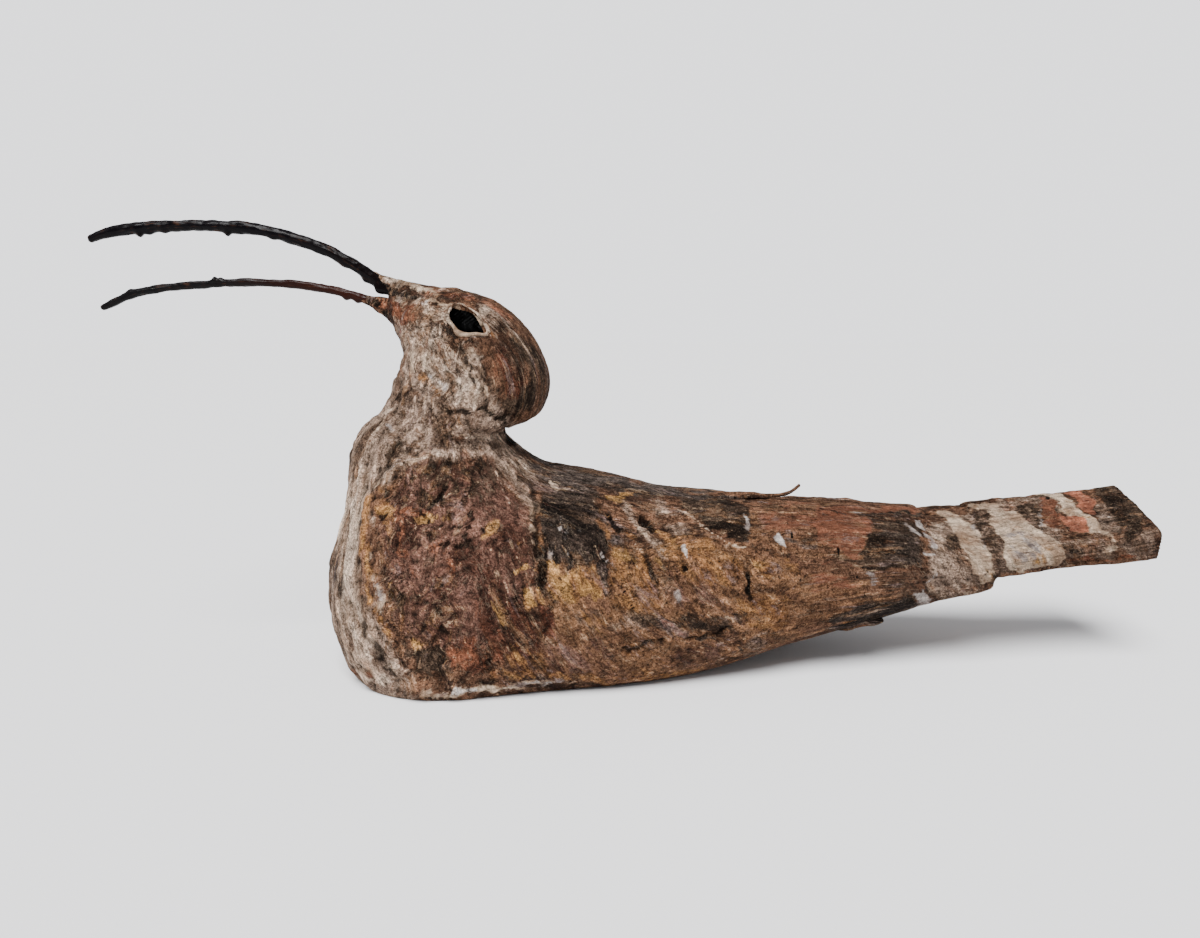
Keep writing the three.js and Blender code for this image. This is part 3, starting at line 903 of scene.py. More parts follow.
@dataclass
class Carving:
    """Low relief of the body: lumps, crumbs, creases, grain, folds and the listed cuts and ridges."""

    shell: Shell
    fold_height: float = 0.85 * MM
    groove_height: float = 0.42 * MM
    broad_height: float = 0.7 * MM
    filler_height: float = 1.5 * MM
    crumb_height: float = 0.8 * MM
    crease_depth: float = 1.3 * MM

    def __post_init__(self) -> None:
        """Places the shell's points in the view and works out which coats they lie in."""
        self.points = self.shell.points.reshape(-1, 3)
        normals = self.shell.normals.reshape(-1, 3)
        self.grain = self.shell.grain.reshape(-1, 3)
        self.facing, self.places = view_places(self.points, normals)
        self.coats = coat_depths(self.points, normals)
        x, z = self.points[:, 0], self.points[:, 2]
        head = smoothstep(z, 0.145, 0.160) * smoothstep(-x, -0.01, 0.0)
        tail = smoothstep(x, 0.170, 0.200)
        chest = smoothstep(-x, 0.075, 0.088) * (1.0 - smoothstep(z, 0.125, 0.145))
        self.crumbly = (1.0 - smoothstep(x, -0.045, 0.0)) * (1.0 - 0.25 * head) * (1.0 - 0.6 * chest)
        self.woody = np.maximum(0.30 + 0.50 * smoothstep(x, 0.02, 0.12), tail)

    def folds(self) -> np.ndarray:
        """Long twisted folds down the chest: ridges of a field that is stretched along the grain.

        Returns:
            The height at each point.
        """
        p = self.points
        front = smoothstep(-p[:, 0], 0.060, 0.092) * smoothstep(0.165 - p[:, 2], 0.0, 0.03)
        bent = 4.0 * MM * Noise.fractal(p, 30.0 * MM, 41, 2)[:, None] * np.array([0.0, 1.0, 1.0])
        stretched = (self.grain + bent) * np.array([0.13, 1.0, 1.0])
        ridged = 1.0 - 2.2 * np.abs(Noise.fractal(stretched, 9.0 * MM, 40, 3))
        return self.fold_height * front * ridged

    def grooves(self) -> np.ndarray:
        """Fine ridges along the wood, deepest on the back and the tail."""
        stretched = self.grain * np.array([0.09, 1.0, 1.0])
        return self.groove_height * self.woody * Noise.fractal(stretched, 5.0 * MM, 50, 3)

    def lumps(self) -> np.ndarray:
        """Uneven carving and filler, from hand-sized lumps down to crumbs, each half the last.

        Returns:
            The height at each point.
        """
        broad = self.broad_height * Noise.fractal(self.points, 45.0 * MM, 60, 2)
        bent = self.points + 2.5 * MM * Noise.vector(self.points, 14.0 * MM, (65, 66, 67), 2)
        filler = Noise.fractal(bent, 20.0 * MM, 62, 5)
        rough = np.abs(Noise.fractal(bent, 6.5 * MM, 68, 2))
        plain = 0.30 + 0.70 * self.crumbly
        return broad + plain * (self.filler_height * filler + self.crumb_height * (rough - 0.3))

    def creases(self) -> np.ndarray:
        """Narrow valleys where a smooth field passes zero, as in filler that has dried.

        Returns:
            The height at each point.
        """
        bent = self.points + 3.0 * MM * Noise.vector(self.points, 7.0 * MM, (55, 56, 57), 3)
        line = Noise.fractal(bent, 24.0 * MM, 63, 3)
        rare = smoothstep(Noise.fractal(self.points, 26.0 * MM, 64, 3), 0.0, 0.5)
        return -self.crease_depth * self.crumbly * rare * bell(line, 0.07)

    def listed(self) -> np.ndarray:
        """The cuts and ridges, each with a rounded section.

        Returns:
            The height at each point.
        """
        total = np.zeros(len(self.points))
        wander = 2.4 * Noise.vector(self.points, 7.0 * MM, (70, 71), 2)
        wander = wander + 1.6 * Noise.vector(self.points, 3.0 * MM, (74, 75), 1)
        for groove in CUTS:
            depth = groove.mark.cover(self.places + wander, self.facing)
            total += groove.height * smoothstep(depth, -1.0, 1.0)
        return total

    def crust(self) -> np.ndarray:
        """Thickness of the coats: each stands on what lies below it by its own height.

        Returns:
            The height at each point.
        """
        torn = 0.5 * Noise.fractal(self.points, 3.5 * MM, 72, 3)
        return sum(height * smoothstep(self.coats[coat] + torn, -0.2, 0.4)
                   for coat, height in CRUST.items())

    def height(self) -> np.ndarray:
        """All of the relief, as a height over the plain form; it dies out at the resting face.

        Returns:
            The height at each point.
        """
        total = (self.lumps() + self.grooves() + self.folds() + self.creases() + self.listed()
                 + self.crust())
        calm = smoothstep(self.points[:, 2], 0.0, 0.004) * 0.85 + 0.15
        eye = Eye.plane(self.points)
        calm *= 0.25 + 0.75 * smoothstep(np.hypot(eye[:, 0], eye[:, 1]), 1.1, 1.9)
        return (total * calm).reshape(self.shell.shape)


def view_places(points: np.ndarray, normals: np.ndarray) -> tuple[np.ndarray, np.ndarray]:
    """Where points lie in the side view; the far side is seen as the near side's mirror image.

    Args:
        points: Points of a surface.
        normals: The way that it faces there.

    Returns:
        How far each point faces the view, as the cosine of its angle, and its place there.
    """
    sight = np.array(VIEW.eye) - points
    facing = np.einsum("ij,ij->i", sight, normals) / np.linalg.norm(sight, axis=1)
    mirrored = points.copy()
    mirrored[:, 1] = -np.abs(mirrored[:, 1])
    places = np.where((facing > 0.0)[:, None], VIEW.picture(points), VIEW.picture(mirrored))
    shift = Noise.vector(points, 60.0 * MM, (80, 81), 3)
    away = smoothstep(-facing, 0.0, 0.4)[:, None]
    return facing, places + 14.0 * away * shift


def coat_depths(points: np.ndarray, normals: np.ndarray) -> dict[Coat, np.ndarray]:
    """How deep each point lies in each coat of paint: the deepest of the coat's marks there.

    Args:
        points: Points of a surface.
        normals: The way that it faces there.

    Returns:
        For each coat the depth of each point, from -1 outside to 1 well inside.
    """
    facing, places = view_places(points, normals)
    broad = Noise.vector(points, 12.0 * MM, (90, 91), 3)
    fine = Noise.vector(points, 4.0 * MM, (92, 93), 3)
    depths = {}
    for coat in Coat:
        reach = 1.2 if coat is Coat.HOLE_SHADE else 3.4
        moved = places + reach * broad + 0.6 * reach * fine
        depth = np.full(len(points), -1.0)
        for mark in MARKS[coat]:
            depth = np.maximum(depth, mark.cover(moved, facing))
        depths[coat] = depth
    return depths


def put_sweep(mesh: bpy.types.Mesh, points: np.ndarray, normals: np.ndarray) -> None:
    """Stores the ways that the strokes of paint run, and how woody the surface is.

    On the flank they run as a fan of arcs round a point over the rump: the first coordinate is the
    angle round that point, times a length, the second the distance from it. On the tail they run
    slanting over it, with its bands. On the head, neck and breast they are swirled: the place itself,
    moved by a smooth field. Two shares from 0 to 1 say where the strokes follow these instead of the
    grain.

    Args:
        mesh: The mesh.
        points: The vertices' places.
        normals: The way that the surface faces there.
    """
    x, z = points[:, 0] - FAN_CENTRE[0], points[:, 2] - FAN_CENTRE[1]
    across = np.hypot(np.minimum(x, 0.0), z)
    along = FAN_REACH * np.arctan2(np.minimum(x, 0.0), -z)
    fan = np.stack([along, across, points[:, 1]], axis=1)
    x, y, z = points.T
    band = np.stack([0.6 * x - 0.8 * z - 0.4 * y, 0.8 * x + 0.6 * z, y], axis=1)
    tail = (x > 0.150)[:, None]
    put_vector(mesh, "sweep", np.where(tail, band, fan))
    swirl = points + 5.0 * MM * Noise.vector(points, 14.0 * MM, (85, 86, 87), 3)
    put_vector(mesh, "swirl", swirl[:, [2, 0, 1]] * np.array([1.6, 1.0, 1.0]))
    share = smoothstep(points[:, 0], -0.06, -0.03) * (1.0 - smoothstep(points[:, 0], 0.09, 0.14))
    share *= 1.0 - smoothstep(normals[:, 2], 0.45, 0.85)
    share *= 1.0 - smoothstep(z, 0.110, 0.125)
    put(mesh, "sweep_share", np.maximum(share, 0.85 * smoothstep(x, 0.155, 0.175)))
    chest = smoothstep(-points[:, 0], 0.072, 0.088) * (1.0 - smoothstep(points[:, 2], 0.135, 0.150))
    front = (1.0 - smoothstep(points[:, 0], -0.045, -0.02)) * (1.0 - 0.8 * chest)
    put(mesh, "swirl_share", front)
    crown = bell(points[:, 2] - 0.190, 0.020) * smoothstep(points[:, 0], -0.06, -0.02)
    upward = smoothstep(normals[:, 2], 0.3, 0.8)
    put(mesh, "woody", np.maximum(0.12 + (1.0 - front) * (0.24 + 0.48 * upward), 0.3 * crown))


def put_paint(mesh: bpy.types.Mesh, depths: dict[Coat, np.ndarray], points: np.ndarray,
              normals: np.ndarray, hollow: np.ndarray | None = None) -> None:
    """Stores all that the painted wood's shader reads.

    Args:
        mesh: The mesh.
        depths: How deep each vertex lies in each coat.
        points: The vertices' places.
        normals: The way that the surface faces there.
        hollow: How far each vertex lies below its surroundings, in millimetres, or none.
    """
    for coat, depth in depths.items():
        put(mesh, coat.value, depth)
    put_sweep(mesh, points, normals)
    put(mesh, "hollow", np.zeros(len(points)) if hollow is None else hollow)


@dataclass
class Body:
    """Head, neck, breast, body and tail: one carved and painted form.

    Attributes:
        rows: Rows of the grid from the nose to the tail's end.
        columns: Columns of the grid, round the body.
        end_rows: Rows that close the tail's end.
        roll: How far the tail is turned to the near side.
        roll_begins: Where its turn begins, as a share of the body's length.
        roll_ends: Where it is all there.
        breast_centre: x and z of the middle of the breast's rim.
        breast_half: Half of its length and half of its height.
        rim_height: How far the rim stands out.
        step_height: How far the breast inside it does.
        ring: Radius of the ring that stands for the wood's girth in its grain.
    """

    rows: int = 420
    columns: int = 228
    end_rows: int = 9
    roll: float = math.radians(21)
    roll_begins: float = 0.3
    roll_ends: float = 0.56
    breast_centre: tuple[float, float] = (-110.0 * BODY_LENGTH / 1000, 134.0 * BODY_LENGTH / 1000)
    breast_half: tuple[float, float] = (95.0 * BODY_LENGTH / 1000, 137.0 * BODY_LENGTH / 1000)
    rim_height: float = 1.2 * MM
    step_height: float = 2.0 * MM
    ring: float = 48.0 * MM

    def form(self, t: np.ndarray, opened: np.ndarray) -> np.ndarray:
        """Points of the plain form, a superellipse round the chord from the underside to the back.

        Args:
            t: Place of each row along the stations, from 0 to 1.
            opened: How far each row is open, from 0, a single point, to 1.

        Returns:
            Points by row and column.
        """
        line = spline(STATIONS, t)
        scale = BODY_LENGTH / 1000
        back, under = line[:, 0:2] * scale, line[:, 2:4] * scale
        half = line[:, 4] * scale
        centre = 0.5 * (back + under)
        upward = back - centre
        reach = np.linalg.norm(upward, axis=1)
        upward = upward / reach[:, None]
        turn = turns(self.columns)
        c, s = np.cos(turn)[None, :], np.sin(turn)[None, :]
        power = np.where(c > 0, line[:, 5:6], line[:, 6:7])
        radius = opened[:, None] * (np.abs(c) ** power + np.abs(s) ** power) ** (-1.0 / power)
        rise = c * radius * reach[:, None]
        side = s * radius * half[:, None]
        roll = self.roll * smoothstep(centre[:, 0] / BODY_LENGTH, self.roll_begins, self.roll_ends)[:, None]
        height = rise * np.cos(roll) + side * np.sin(roll)
        y = side * np.cos(roll) - rise * np.sin(roll)
        x = centre[:, 0:1] + upward[:, 0:1] * height
        z = centre[:, 1:2] + upward[:, 1:2] * height
        return np.stack([x, y, z], axis=-1)

    def breast(self, points: np.ndarray) -> np.ndarray:
        """Raised rim round the front and top of the breast, which stands higher inside it.

        Args:
            points: Points by row and column.

        Returns:
            How far each point stands out: a bell across the rim, and a smooth step inside it.
        """
        x = (points[..., 0] - self.breast_centre[0]) / self.breast_half[0]
        z = (points[..., 2] - self.breast_centre[1]) / self.breast_half[1]
        outside = (np.hypot(x, z) - 1.0) * self.breast_half[0]
        turn = np.abs(np.arctan2(z, x)) / math.pi
        rim = self.rim_height * bell(outside, 7.0 * MM) * smoothstep(turn, 0.3, 0.5)
        step = self.step_height * smoothstep(-outside, -8 * MM, 8 * MM) * smoothstep(-x, -0.8, 0.8)
        return rim + step

    def spacing(self) -> np.ndarray:
        """Places of the rows, so that they stand evenly along the body's sides.

        Returns:
            Where each row's share of the way falls, the way being the sum of long steps.
        """
        fine = np.linspace(0.0, 1.0, 3000)
        points = self.form(fine, np.ones(len(fine)))
        steps = np.linalg.norm(np.diff(points, axis=0), axis=2)
        run = run_up(np.percentile(steps, 70, axis=1))
        return np.interp(np.linspace(0.0, run[-1], self.rows), run, fine)

    def shell(self) -> Shell:
        """The plain form on its fine grid, closed at both ends.

        Returns:
            The shell, with the breast's rim on it but not yet carved.
        """
        t = self.spacing()
        ends = np.cos(np.linspace(0.0, 0.5 * math.pi, self.end_rows + 1))[1:]
        ends[-1] = 0.0
        t = np.concatenate([[0.0], t, np.ones(self.end_rows)])
        opened = np.concatenate([[0.0], np.ones(self.rows), ends])
        points = self.form(t, opened)
        run = run_up(np.linalg.norm(np.diff(points, axis=0), axis=2).mean(1))
        turn = turns(self.columns)
        girth = self.ring * np.cos(turn), self.ring * np.sin(turn)
        grain = np.stack(np.broadcast_arrays(run[:, None], *girth), axis=-1)
        side = np.abs(np.sin(turn))[None, :]
        return Shell.of(points, grain).raised(self.breast(points) * side)

    def build(self, shell: Shell, material: bpy.types.Material) -> None:
        """Carves the form, cuts it flat where it rests, paints it and adds it to the model.

        Args:
            shell: The plain form.
            material: Painted wood.
        """
        carving = Carving(shell)
        height = carving.height() - self.eye_dents(shell)
        carved = shell.raised(height)
        carved.points[..., 2] = np.maximum(carved.points[..., 2], 0.0)
        mesh = carved.mesh("body_skin")
        flat = carved.flat
        depths = {coat: flat(depth.reshape(shell.shape)) for coat, depth in carving.coats.items()}
        put_paint(mesh, depths, carved.flat_rows(shell.points), carved.flat_rows(shell.normals),
                  flat(self.hollow(height)))
        add_piece("body_skin", mesh, material, "body")

    def eye_dents(self, shell: Shell) -> np.ndarray:
        """Depth of the two hollows that the eye sockets sit in: a smooth step over their edge.

        Args:
            shell: The plain form.

        Returns:
            The depth by row and column.
        """
        place = Eye.plane(shell.points.reshape(-1, 3)).reshape(*shell.shape, 2)
        out = np.hypot(place[..., 0], place[..., 1])
        return Eye.depth * smoothstep(1.15 - out, 0.0, 0.35)

    def hollow(self, height: np.ndarray) -> np.ndarray:
        """How far each point lies below its near surroundings: a blur of the height, less the height.

        Args:
            height: Height of the relief by row and column.

        Returns:
            The depth in millimetres, by row and column.
        """
        blurred = height
        for step in (1, 2, 1):
            blurred = (blurred + np.roll(blurred, step, 0) + np.roll(blurred, -step, 0)
                       + np.roll(blurred, step, 1) + np.roll(blurred, -step, 1)) / 5.0
        return (blurred - height) / MM


@dataclass
class Eye:
    """One eye: a raised cream lid round a deep, glossy black socket.

    Attributes:
        side: -1 on the near side, 1 on the far side.
        centre: Middle of the opening, in the side view.
        length: Length of the opening.
        tall: Height of the opening.
        tilt: How far it leans down towards its back corner.
        pinch: How much it narrows towards that corner.
        depth: Depth of the socket.
        lid_width: Mean width of the lid.
        thickest: Where the lid is thickest, as an angle round the opening.
        socket_grid: Rows of half a socket, and its columns.
        lid_grid: Rows and columns of a lid.
    """

    side: int
    centre: tuple[float, float, float] = (-99.0 * BODY_LENGTH / 1000, 0.0, 409.0 * BODY_LENGTH / 1000)
    length: float = 18.0 * MM
    tall: float = 9.6 * MM
    tilt: float = math.radians(32)
    pinch: float = 0.35
    depth: float = 4.6 * MM
    lid_width: float = 1.5 * MM
    thickest: float = math.radians(295)
    socket_grid: tuple[int, int] = (26, 72)
    lid_grid: tuple[int, int] = (120, 20)

    @classmethod
    def plane(cls, points: np.ndarray) -> np.ndarray:
        """Places points in the eye's own side view, where its almond is a circle of radius 1.

        Args:
            points: Points of a surface.

        Returns:
            Place along and across the eye. The eye narrows towards its back corner.
        """
        x = points[:, 0] - cls.centre[0]
        z = points[:, 2] - cls.centre[2]
        along = (x * math.cos(cls.tilt) - z * math.sin(cls.tilt)) / (0.5 * cls.length)
        across = (x * math.sin(cls.tilt) + z * math.cos(cls.tilt)) / (0.5 * cls.tall)
        narrow = 1.0 - cls.pinch * np.clip(along, 0.0, 1.0)
        return np.stack([along, across / narrow], axis=1)

    def outline(self, angle: np.ndarray, scale: np.ndarray) -> np.ndarray:
        """Points of the almond: an ellipse, pinched at one end and uneven by two small waves.

        Args:
            angle: Angle of each point round the middle.
            scale: Its share of the almond's size.

        Returns:
            x and z of each point.
        """
        narrow = 1.0 - self.pinch * np.maximum(0.0, np.cos(angle))
        scale = scale * (1.0 + 0.06 * np.sin(3.0 * angle + 0.6) + 0.04 * np.sin(5.0 * angle + 2.1))
        along = 0.5 * self.length * scale * np.cos(angle)
        across = 0.5 * self.tall * scale * np.sin(angle) * narrow
        x = along * math.cos(self.tilt) + across * math.sin(self.tilt)
        z = across * math.cos(self.tilt) - along * math.sin(self.tilt)
        return np.stack([x + self.centre[0], z + self.centre[2]], axis=-1)

    def skin(self, places: np.ndarray, form: np.ndarray) -> np.ndarray:
        """Where the head's side is, as a mean of the form's points there.

        Each point is weighed by the inverse fourth power of its distance.

        Args:
            places: x and z of each place.
            form: Points of the plain form.

        Returns:
            The y of the skin at each place.
        """
        head = form[(form[:, 1] * self.side > 0.008) & (form[:, 2] > 0.145) & (form[:, 0] < 0.0)]
        flat = places.reshape(-1, 2)
        gap = np.linalg.norm(flat[:, None, :] - head[None, :, (0, 2)], axis=2)
        weight = 1.0 / (gap + 0.2 * MM) ** 4
        return ((weight @ head[:, 1]) / weight.sum(1)).reshape(places.shape[:-1])

    def build(self, form: np.ndarray, wood: bpy.types.Material, gloss: bpy.types.Material) -> None:
        """Makes the socket and the lid.

        Args:
            form: Points of the plain form.
            wood: Painted wood, for the lid.
            gloss: Black gloss, for the socket.
        """
        name = "near" if self.side < 0 else "far"
        self.socket(name, form, gloss)
        self.lid(name, form, wood)

    def socket(self, name: str, form: np.ndarray, gloss: bpy.types.Material) -> None:
        """A bowl: its floor is a half ellipsoid below the skin, its back a thin wall behind it.

        Args:
            name: Near or far.
            form: Points of the plain form.
            gloss: Black gloss.
        """
        rows, columns = self.socket_grid
        angle = turns(columns)
        polar = np.linspace(0.0, 1.0, rows)
        inner = np.sin(0.5 * math.pi * polar) * 1.12
        scale = np.concatenate([inner, inner[::-1]])[:, None] * np.ones(columns)
        down = np.concatenate([np.cos(0.5 * math.pi * polar), 0.6 * MM / self.depth + np.cos(
            0.5 * math.pi * polar[::-1])])[:, None]
        places = self.outline(angle[None, :], scale)
        wobble = Noise.fractal(np.dstack([places, np.zeros(places.shape[:2])]).reshape(-1, 3), 5 * MM, 7, 3)
        y = self.skin(places, form) - self.side * self.depth * 0.85 * down
        y = y + self.side * 0.25 * MM * wobble.reshape(y.shape)
        points = np.stack([places[..., 0], y, places[..., 1]], axis=-1)
        shell = Shell.of(points, points)
        add_piece(f"{name}_eye_socket", shell.mesh(f"{name}_eye_socket"), gloss)

    def lid(self, name: str, form: np.ndarray, wood: bpy.types.Material) -> None:
        """A bead round the opening, thicker in some places than in others.

        Args:
            name: Near or far.
            form: Points of the plain form.
            wood: Painted wood.
        """
        rows, columns = self.lid_grid
        angle, around = turns(rows), turns(columns)
        ring = np.stack([np.cos(angle), np.sin(angle), np.full(rows, float(self.side))], axis=1)
        low = np.cos(angle - self.thickest)
        swell = 1.0 + 0.55 * Noise.fractal(ring, 0.35, 11, 3) + 0.45 * low
        thick = self.lid_width * swell[:, None]
        reach = np.hypot(0.5 * self.length * np.cos(angle), 0.5 * self.tall * np.sin(angle))[:, None]
        scale = 1.04 + (0.5 * thick / reach) * (1.0 + np.cos(around)[None, :])
        places = self.outline(angle[:, None] * np.ones(columns), scale)
        y = self.skin(places, form) + self.side * (0.25 * MM + 0.7 * thick * np.sin(around)[None, :])
        points = np.stack([places[..., 0], y, places[..., 1]], axis=-1)
        rough = 0.28 * MM * Noise.fractal(points.reshape(-1, 3), 2.0 * MM, 12, 3).reshape(rows, columns)
        points[..., 1] += self.side * rough
        mesh = ring_mesh(f"{name}_eye_lid", points)
        flat = points.reshape(-1, 3)
        depths = {coat: np.full(len(flat), -1.0) for coat in Coat}
        depths[Coat.BEIGE] = np.full(len(flat), 0.5)
        depths[Coat.CREAM] = 0.05 + 0.8 * np.repeat(low, columns) + 0.6 * Noise.fractal(flat, 3.0 * MM, 13, 3)
        put_paint(mesh, depths, flat, np.zeros_like(flat))
        add_piece(f"{name}_eye_lid", mesh, wood)


def ring_mesh(name: str, points: np.ndarray) -> bpy.types.Mesh:
    """Closes a grid both ways into a ring.

    Args:
        name: The mesh's name.
        points: Points by row and column; the last row joins the first.

    Returns:
        The mesh, its faces outward, with an attribute for the grain.
    """
    rows, columns = points.shape[:2]
    index = np.arange(rows * columns).reshape(rows, columns)
    after, beside = np.roll(index, -1, axis=0), np.roll(index, -1, axis=1)
    quads = np.stack([index, beside, np.roll(after, -1, axis=1), after], axis=-1).reshape(-1, 4)
    flat = points.reshape(-1, 3)
    a, b, c = (flat[quads[:, i]] for i in (0, 1, 2))
    centre = flat.mean(0)
    if np.einsum("ij,ij->", a - centre, np.cross(b - centre, c - centre)) < 0.0:
        quads = quads[:, ::-1]
    return new_mesh(name, flat, quads.tolist(), flat)


@dataclass
class Bar:
    """A round bar along a line of the side view, with its own thickness and relief.

    Attributes:
        line: x and z of its axis, in thousandths of the body's length.
        radii: Its radius at even shares of its length, in millimetres.
        rows: Rows of the grid, along it.
        columns: Columns of the grid, round it.
        rough: Height of its relief.
        seed: Chooses the relief.
        squash: Its width across the bird, as a share of its height.
        knots: Share of the length, turn in degrees, height and width in millimetres of each knot.
    """

    line: Line
    radii: tuple[float, ...]
    rows: int = 220
    columns: int = 28
    rough: float = 0.12 * MM
    seed: int = 20
    squash: float = 1.0
    knots: tuple[tuple[float, float, float, float], ...] = ()

    def knot_height(self, share: np.ndarray, turn: np.ndarray) -> np.ndarray:
        """Height of the knots: each is a bell along the bar, times a squared cosine round it.

        Args:
            share: Place of each row along the bar, from 0 to 1.
            turn: Angle of each column.

        Returns:
            The height by row and column.
        """
        total = np.zeros((len(share), len(turn)))
        for place, angle, height, width in self.knots:
            along = bell(share - place, width * MM / BODY_LENGTH * 1.2)
            round_it = np.maximum(0.0, np.cos(turn - math.radians(angle))) ** 2
            total += height * MM * along[:, None] * round_it[None, :]
        return total

    def shell(self) -> Shell:
        """Carries circles along a spline through the line, with rounded ends.

        Returns:
            The shell, its relief and knots on it.
        """
        knots = np.array(self.line) * BODY_LENGTH / 1000
        fine = np.linspace(0.0, 1.0, 1200)
        path = spline(knots, fine)
        run = run_up(np.linalg.norm(np.diff(path, axis=0), axis=1))
        share = np.linspace(0.0, 1.0, self.rows)
        share = np.concatenate([[0.0], share, [1.0]])
        path = spline(knots, np.interp(share * run[-1], run, fine))
        ahead = np.gradient(path, axis=0)
        ahead[0], ahead[-1] = ahead[1], ahead[-2]
        ahead = ahead / np.maximum(np.linalg.norm(ahead, axis=1, keepdims=True), 1e-9)
        upward = np.stack([-ahead[:, 1], ahead[:, 0]], axis=1)
        radius = spline(np.array(self.radii)[:, None], share)[:, 0] * MM
        distance = np.minimum(share, 1.0 - share) * run[-1]
        inset = np.clip(1.0 - distance / np.maximum(radius, 1e-6), 0.0, 1.0)
        radius = radius * np.sqrt(np.maximum(1.0 - inset**2, 0.0) + 1e-4)
        radius[0] = radius[-1] = 0.0
        turn = turns(self.columns)
        c, s = np.cos(turn)[None, :], np.sin(turn)[None, :]
        x = path[:, 0:1] + upward[:, 0:1] * radius[:, None] * c
        z = path[:, 1:2] + upward[:, 1:2] * radius[:, None] * c
        y = self.squash * radius[:, None] * s
        points = np.stack([x, y, z], axis=-1)
        ring = 2.0 * MM
        along = (share * run[-1])[:, None]
        grain = np.stack(np.broadcast_arrays(along, ring * c, ring * s), axis=-1)
        shell = Shell.of(points, grain)
        flat = grain.reshape(-1, 3) * np.array([0.22, 1.0, 1.0])
        relief = Noise.fractal(flat, 1.6 * MM, self.seed, 3) + Noise.fractal(
            points.reshape(-1, 3), 6.0 * MM, self.seed + 1, 3)
        ends = np.ones(len(share))
        ends[0] = ends[-1] = 0.0
        height = self.rough * relief.reshape(shell.shape) + self.knot_height(share, turn)
        return shell.raised(height * ends[:, None])


@dataclass
class Plate:
    """A flat layer of wood with ragged edges, seen edge-on in the side view.

    Attributes:
        top: x and z of its upper line, in thousandths of the body's length.
        bottom: x and z of its lower line.
        half_width: Half of its width across the bird.
        middle: How far its middle lies to the side.
        roll: Turn about its length.
        hinge: Height that it turns round.
        square: Power of its superellipse.
        ragged: How far its edges are torn.
        rough: Height of its relief.
        rows: Rows of the grid, along it.
        columns: Columns of the grid, round it.
        seed: Chooses its tears and its relief.
    """

    top: Line
    bottom: Line
    half_width: float
    middle: float = 0.0
    roll: float = 0.0
    hinge: float = 0.0
    square: float = 5.0
    ragged: float = 1.2 * MM
    rough: float = 0.35 * MM
    rows: int = 150
    columns: int = 64
    seed: int = 140

    def shell(self) -> Shell:
        """Carries a superellipse along the plate, from its lower line to its upper one.

        Returns:
            The shell, torn, turned and with its relief on it.
        """
        scale = BODY_LENGTH / 1000
        top, bottom = np.array(self.top) * scale, np.array(self.bottom) * scale
        share = 0.5 - 0.5 * np.cos(np.linspace(0.0, math.pi, self.rows))
        x = top[0, 0] + (top[-1, 0] - top[0, 0]) * share
        high, low = np.interp(x, top[:, 0], top[:, 1]), np.interp(x, bottom[:, 0], bottom[:, 1])
        opened = (1.0 - np.abs(2.0 * share - 1.0) ** 24) ** 0.5
        turn = turns(self.columns)
        c, s = np.cos(turn)[None, :], np.sin(turn)[None, :]
        radius = (np.abs(c) ** self.square + np.abs(s) ** self.square) ** (-1.0 / self.square)
        rise = 0.5 * (high - low)[:, None] * radius * c * opened[:, None]
        side = self.half_width * radius * s * opened[:, None]
        points = np.stack(np.broadcast_arrays(x[:, None], self.middle + side,
                                              0.5 * (high + low)[:, None] + rise), axis=-1)
        edge = np.stack(np.broadcast_arrays(x[:, None], 0.3 * side, 0.0 * side), axis=-1).reshape(-1, 3)
        tear = self.ragged * Noise.fractal(edge, 7.0 * MM, self.seed, 4).reshape(side.shape)
        points[..., 1] += tear * radius * s * opened[:, None]
        lean, height = points[..., 1] - self.middle, points[..., 2] - self.hinge
        points[..., 1] = self.middle + lean * math.cos(self.roll) - height * math.sin(self.roll)
        points[..., 2] = self.hinge + lean * math.sin(self.roll) + height * math.cos(self.roll)
        ring = np.stack(np.broadcast_arrays(x[:, None], 12.0 * MM * c, 12.0 * MM * s), axis=-1)
        shell = Shell.of(points, ring)
        flat = ring.reshape(-1, 3) * np.array([0.15, 1.0, 1.0])
        relief = Noise.fractal(flat, 3.0 * MM, self.seed + 3, 3) + 0.5 * Noise.fractal(
            points.reshape(-1, 3), 6.0 * MM, self.seed + 6, 3)
        return shell.raised(self.rough * relief.reshape(shell.shape) * opened[:, None])


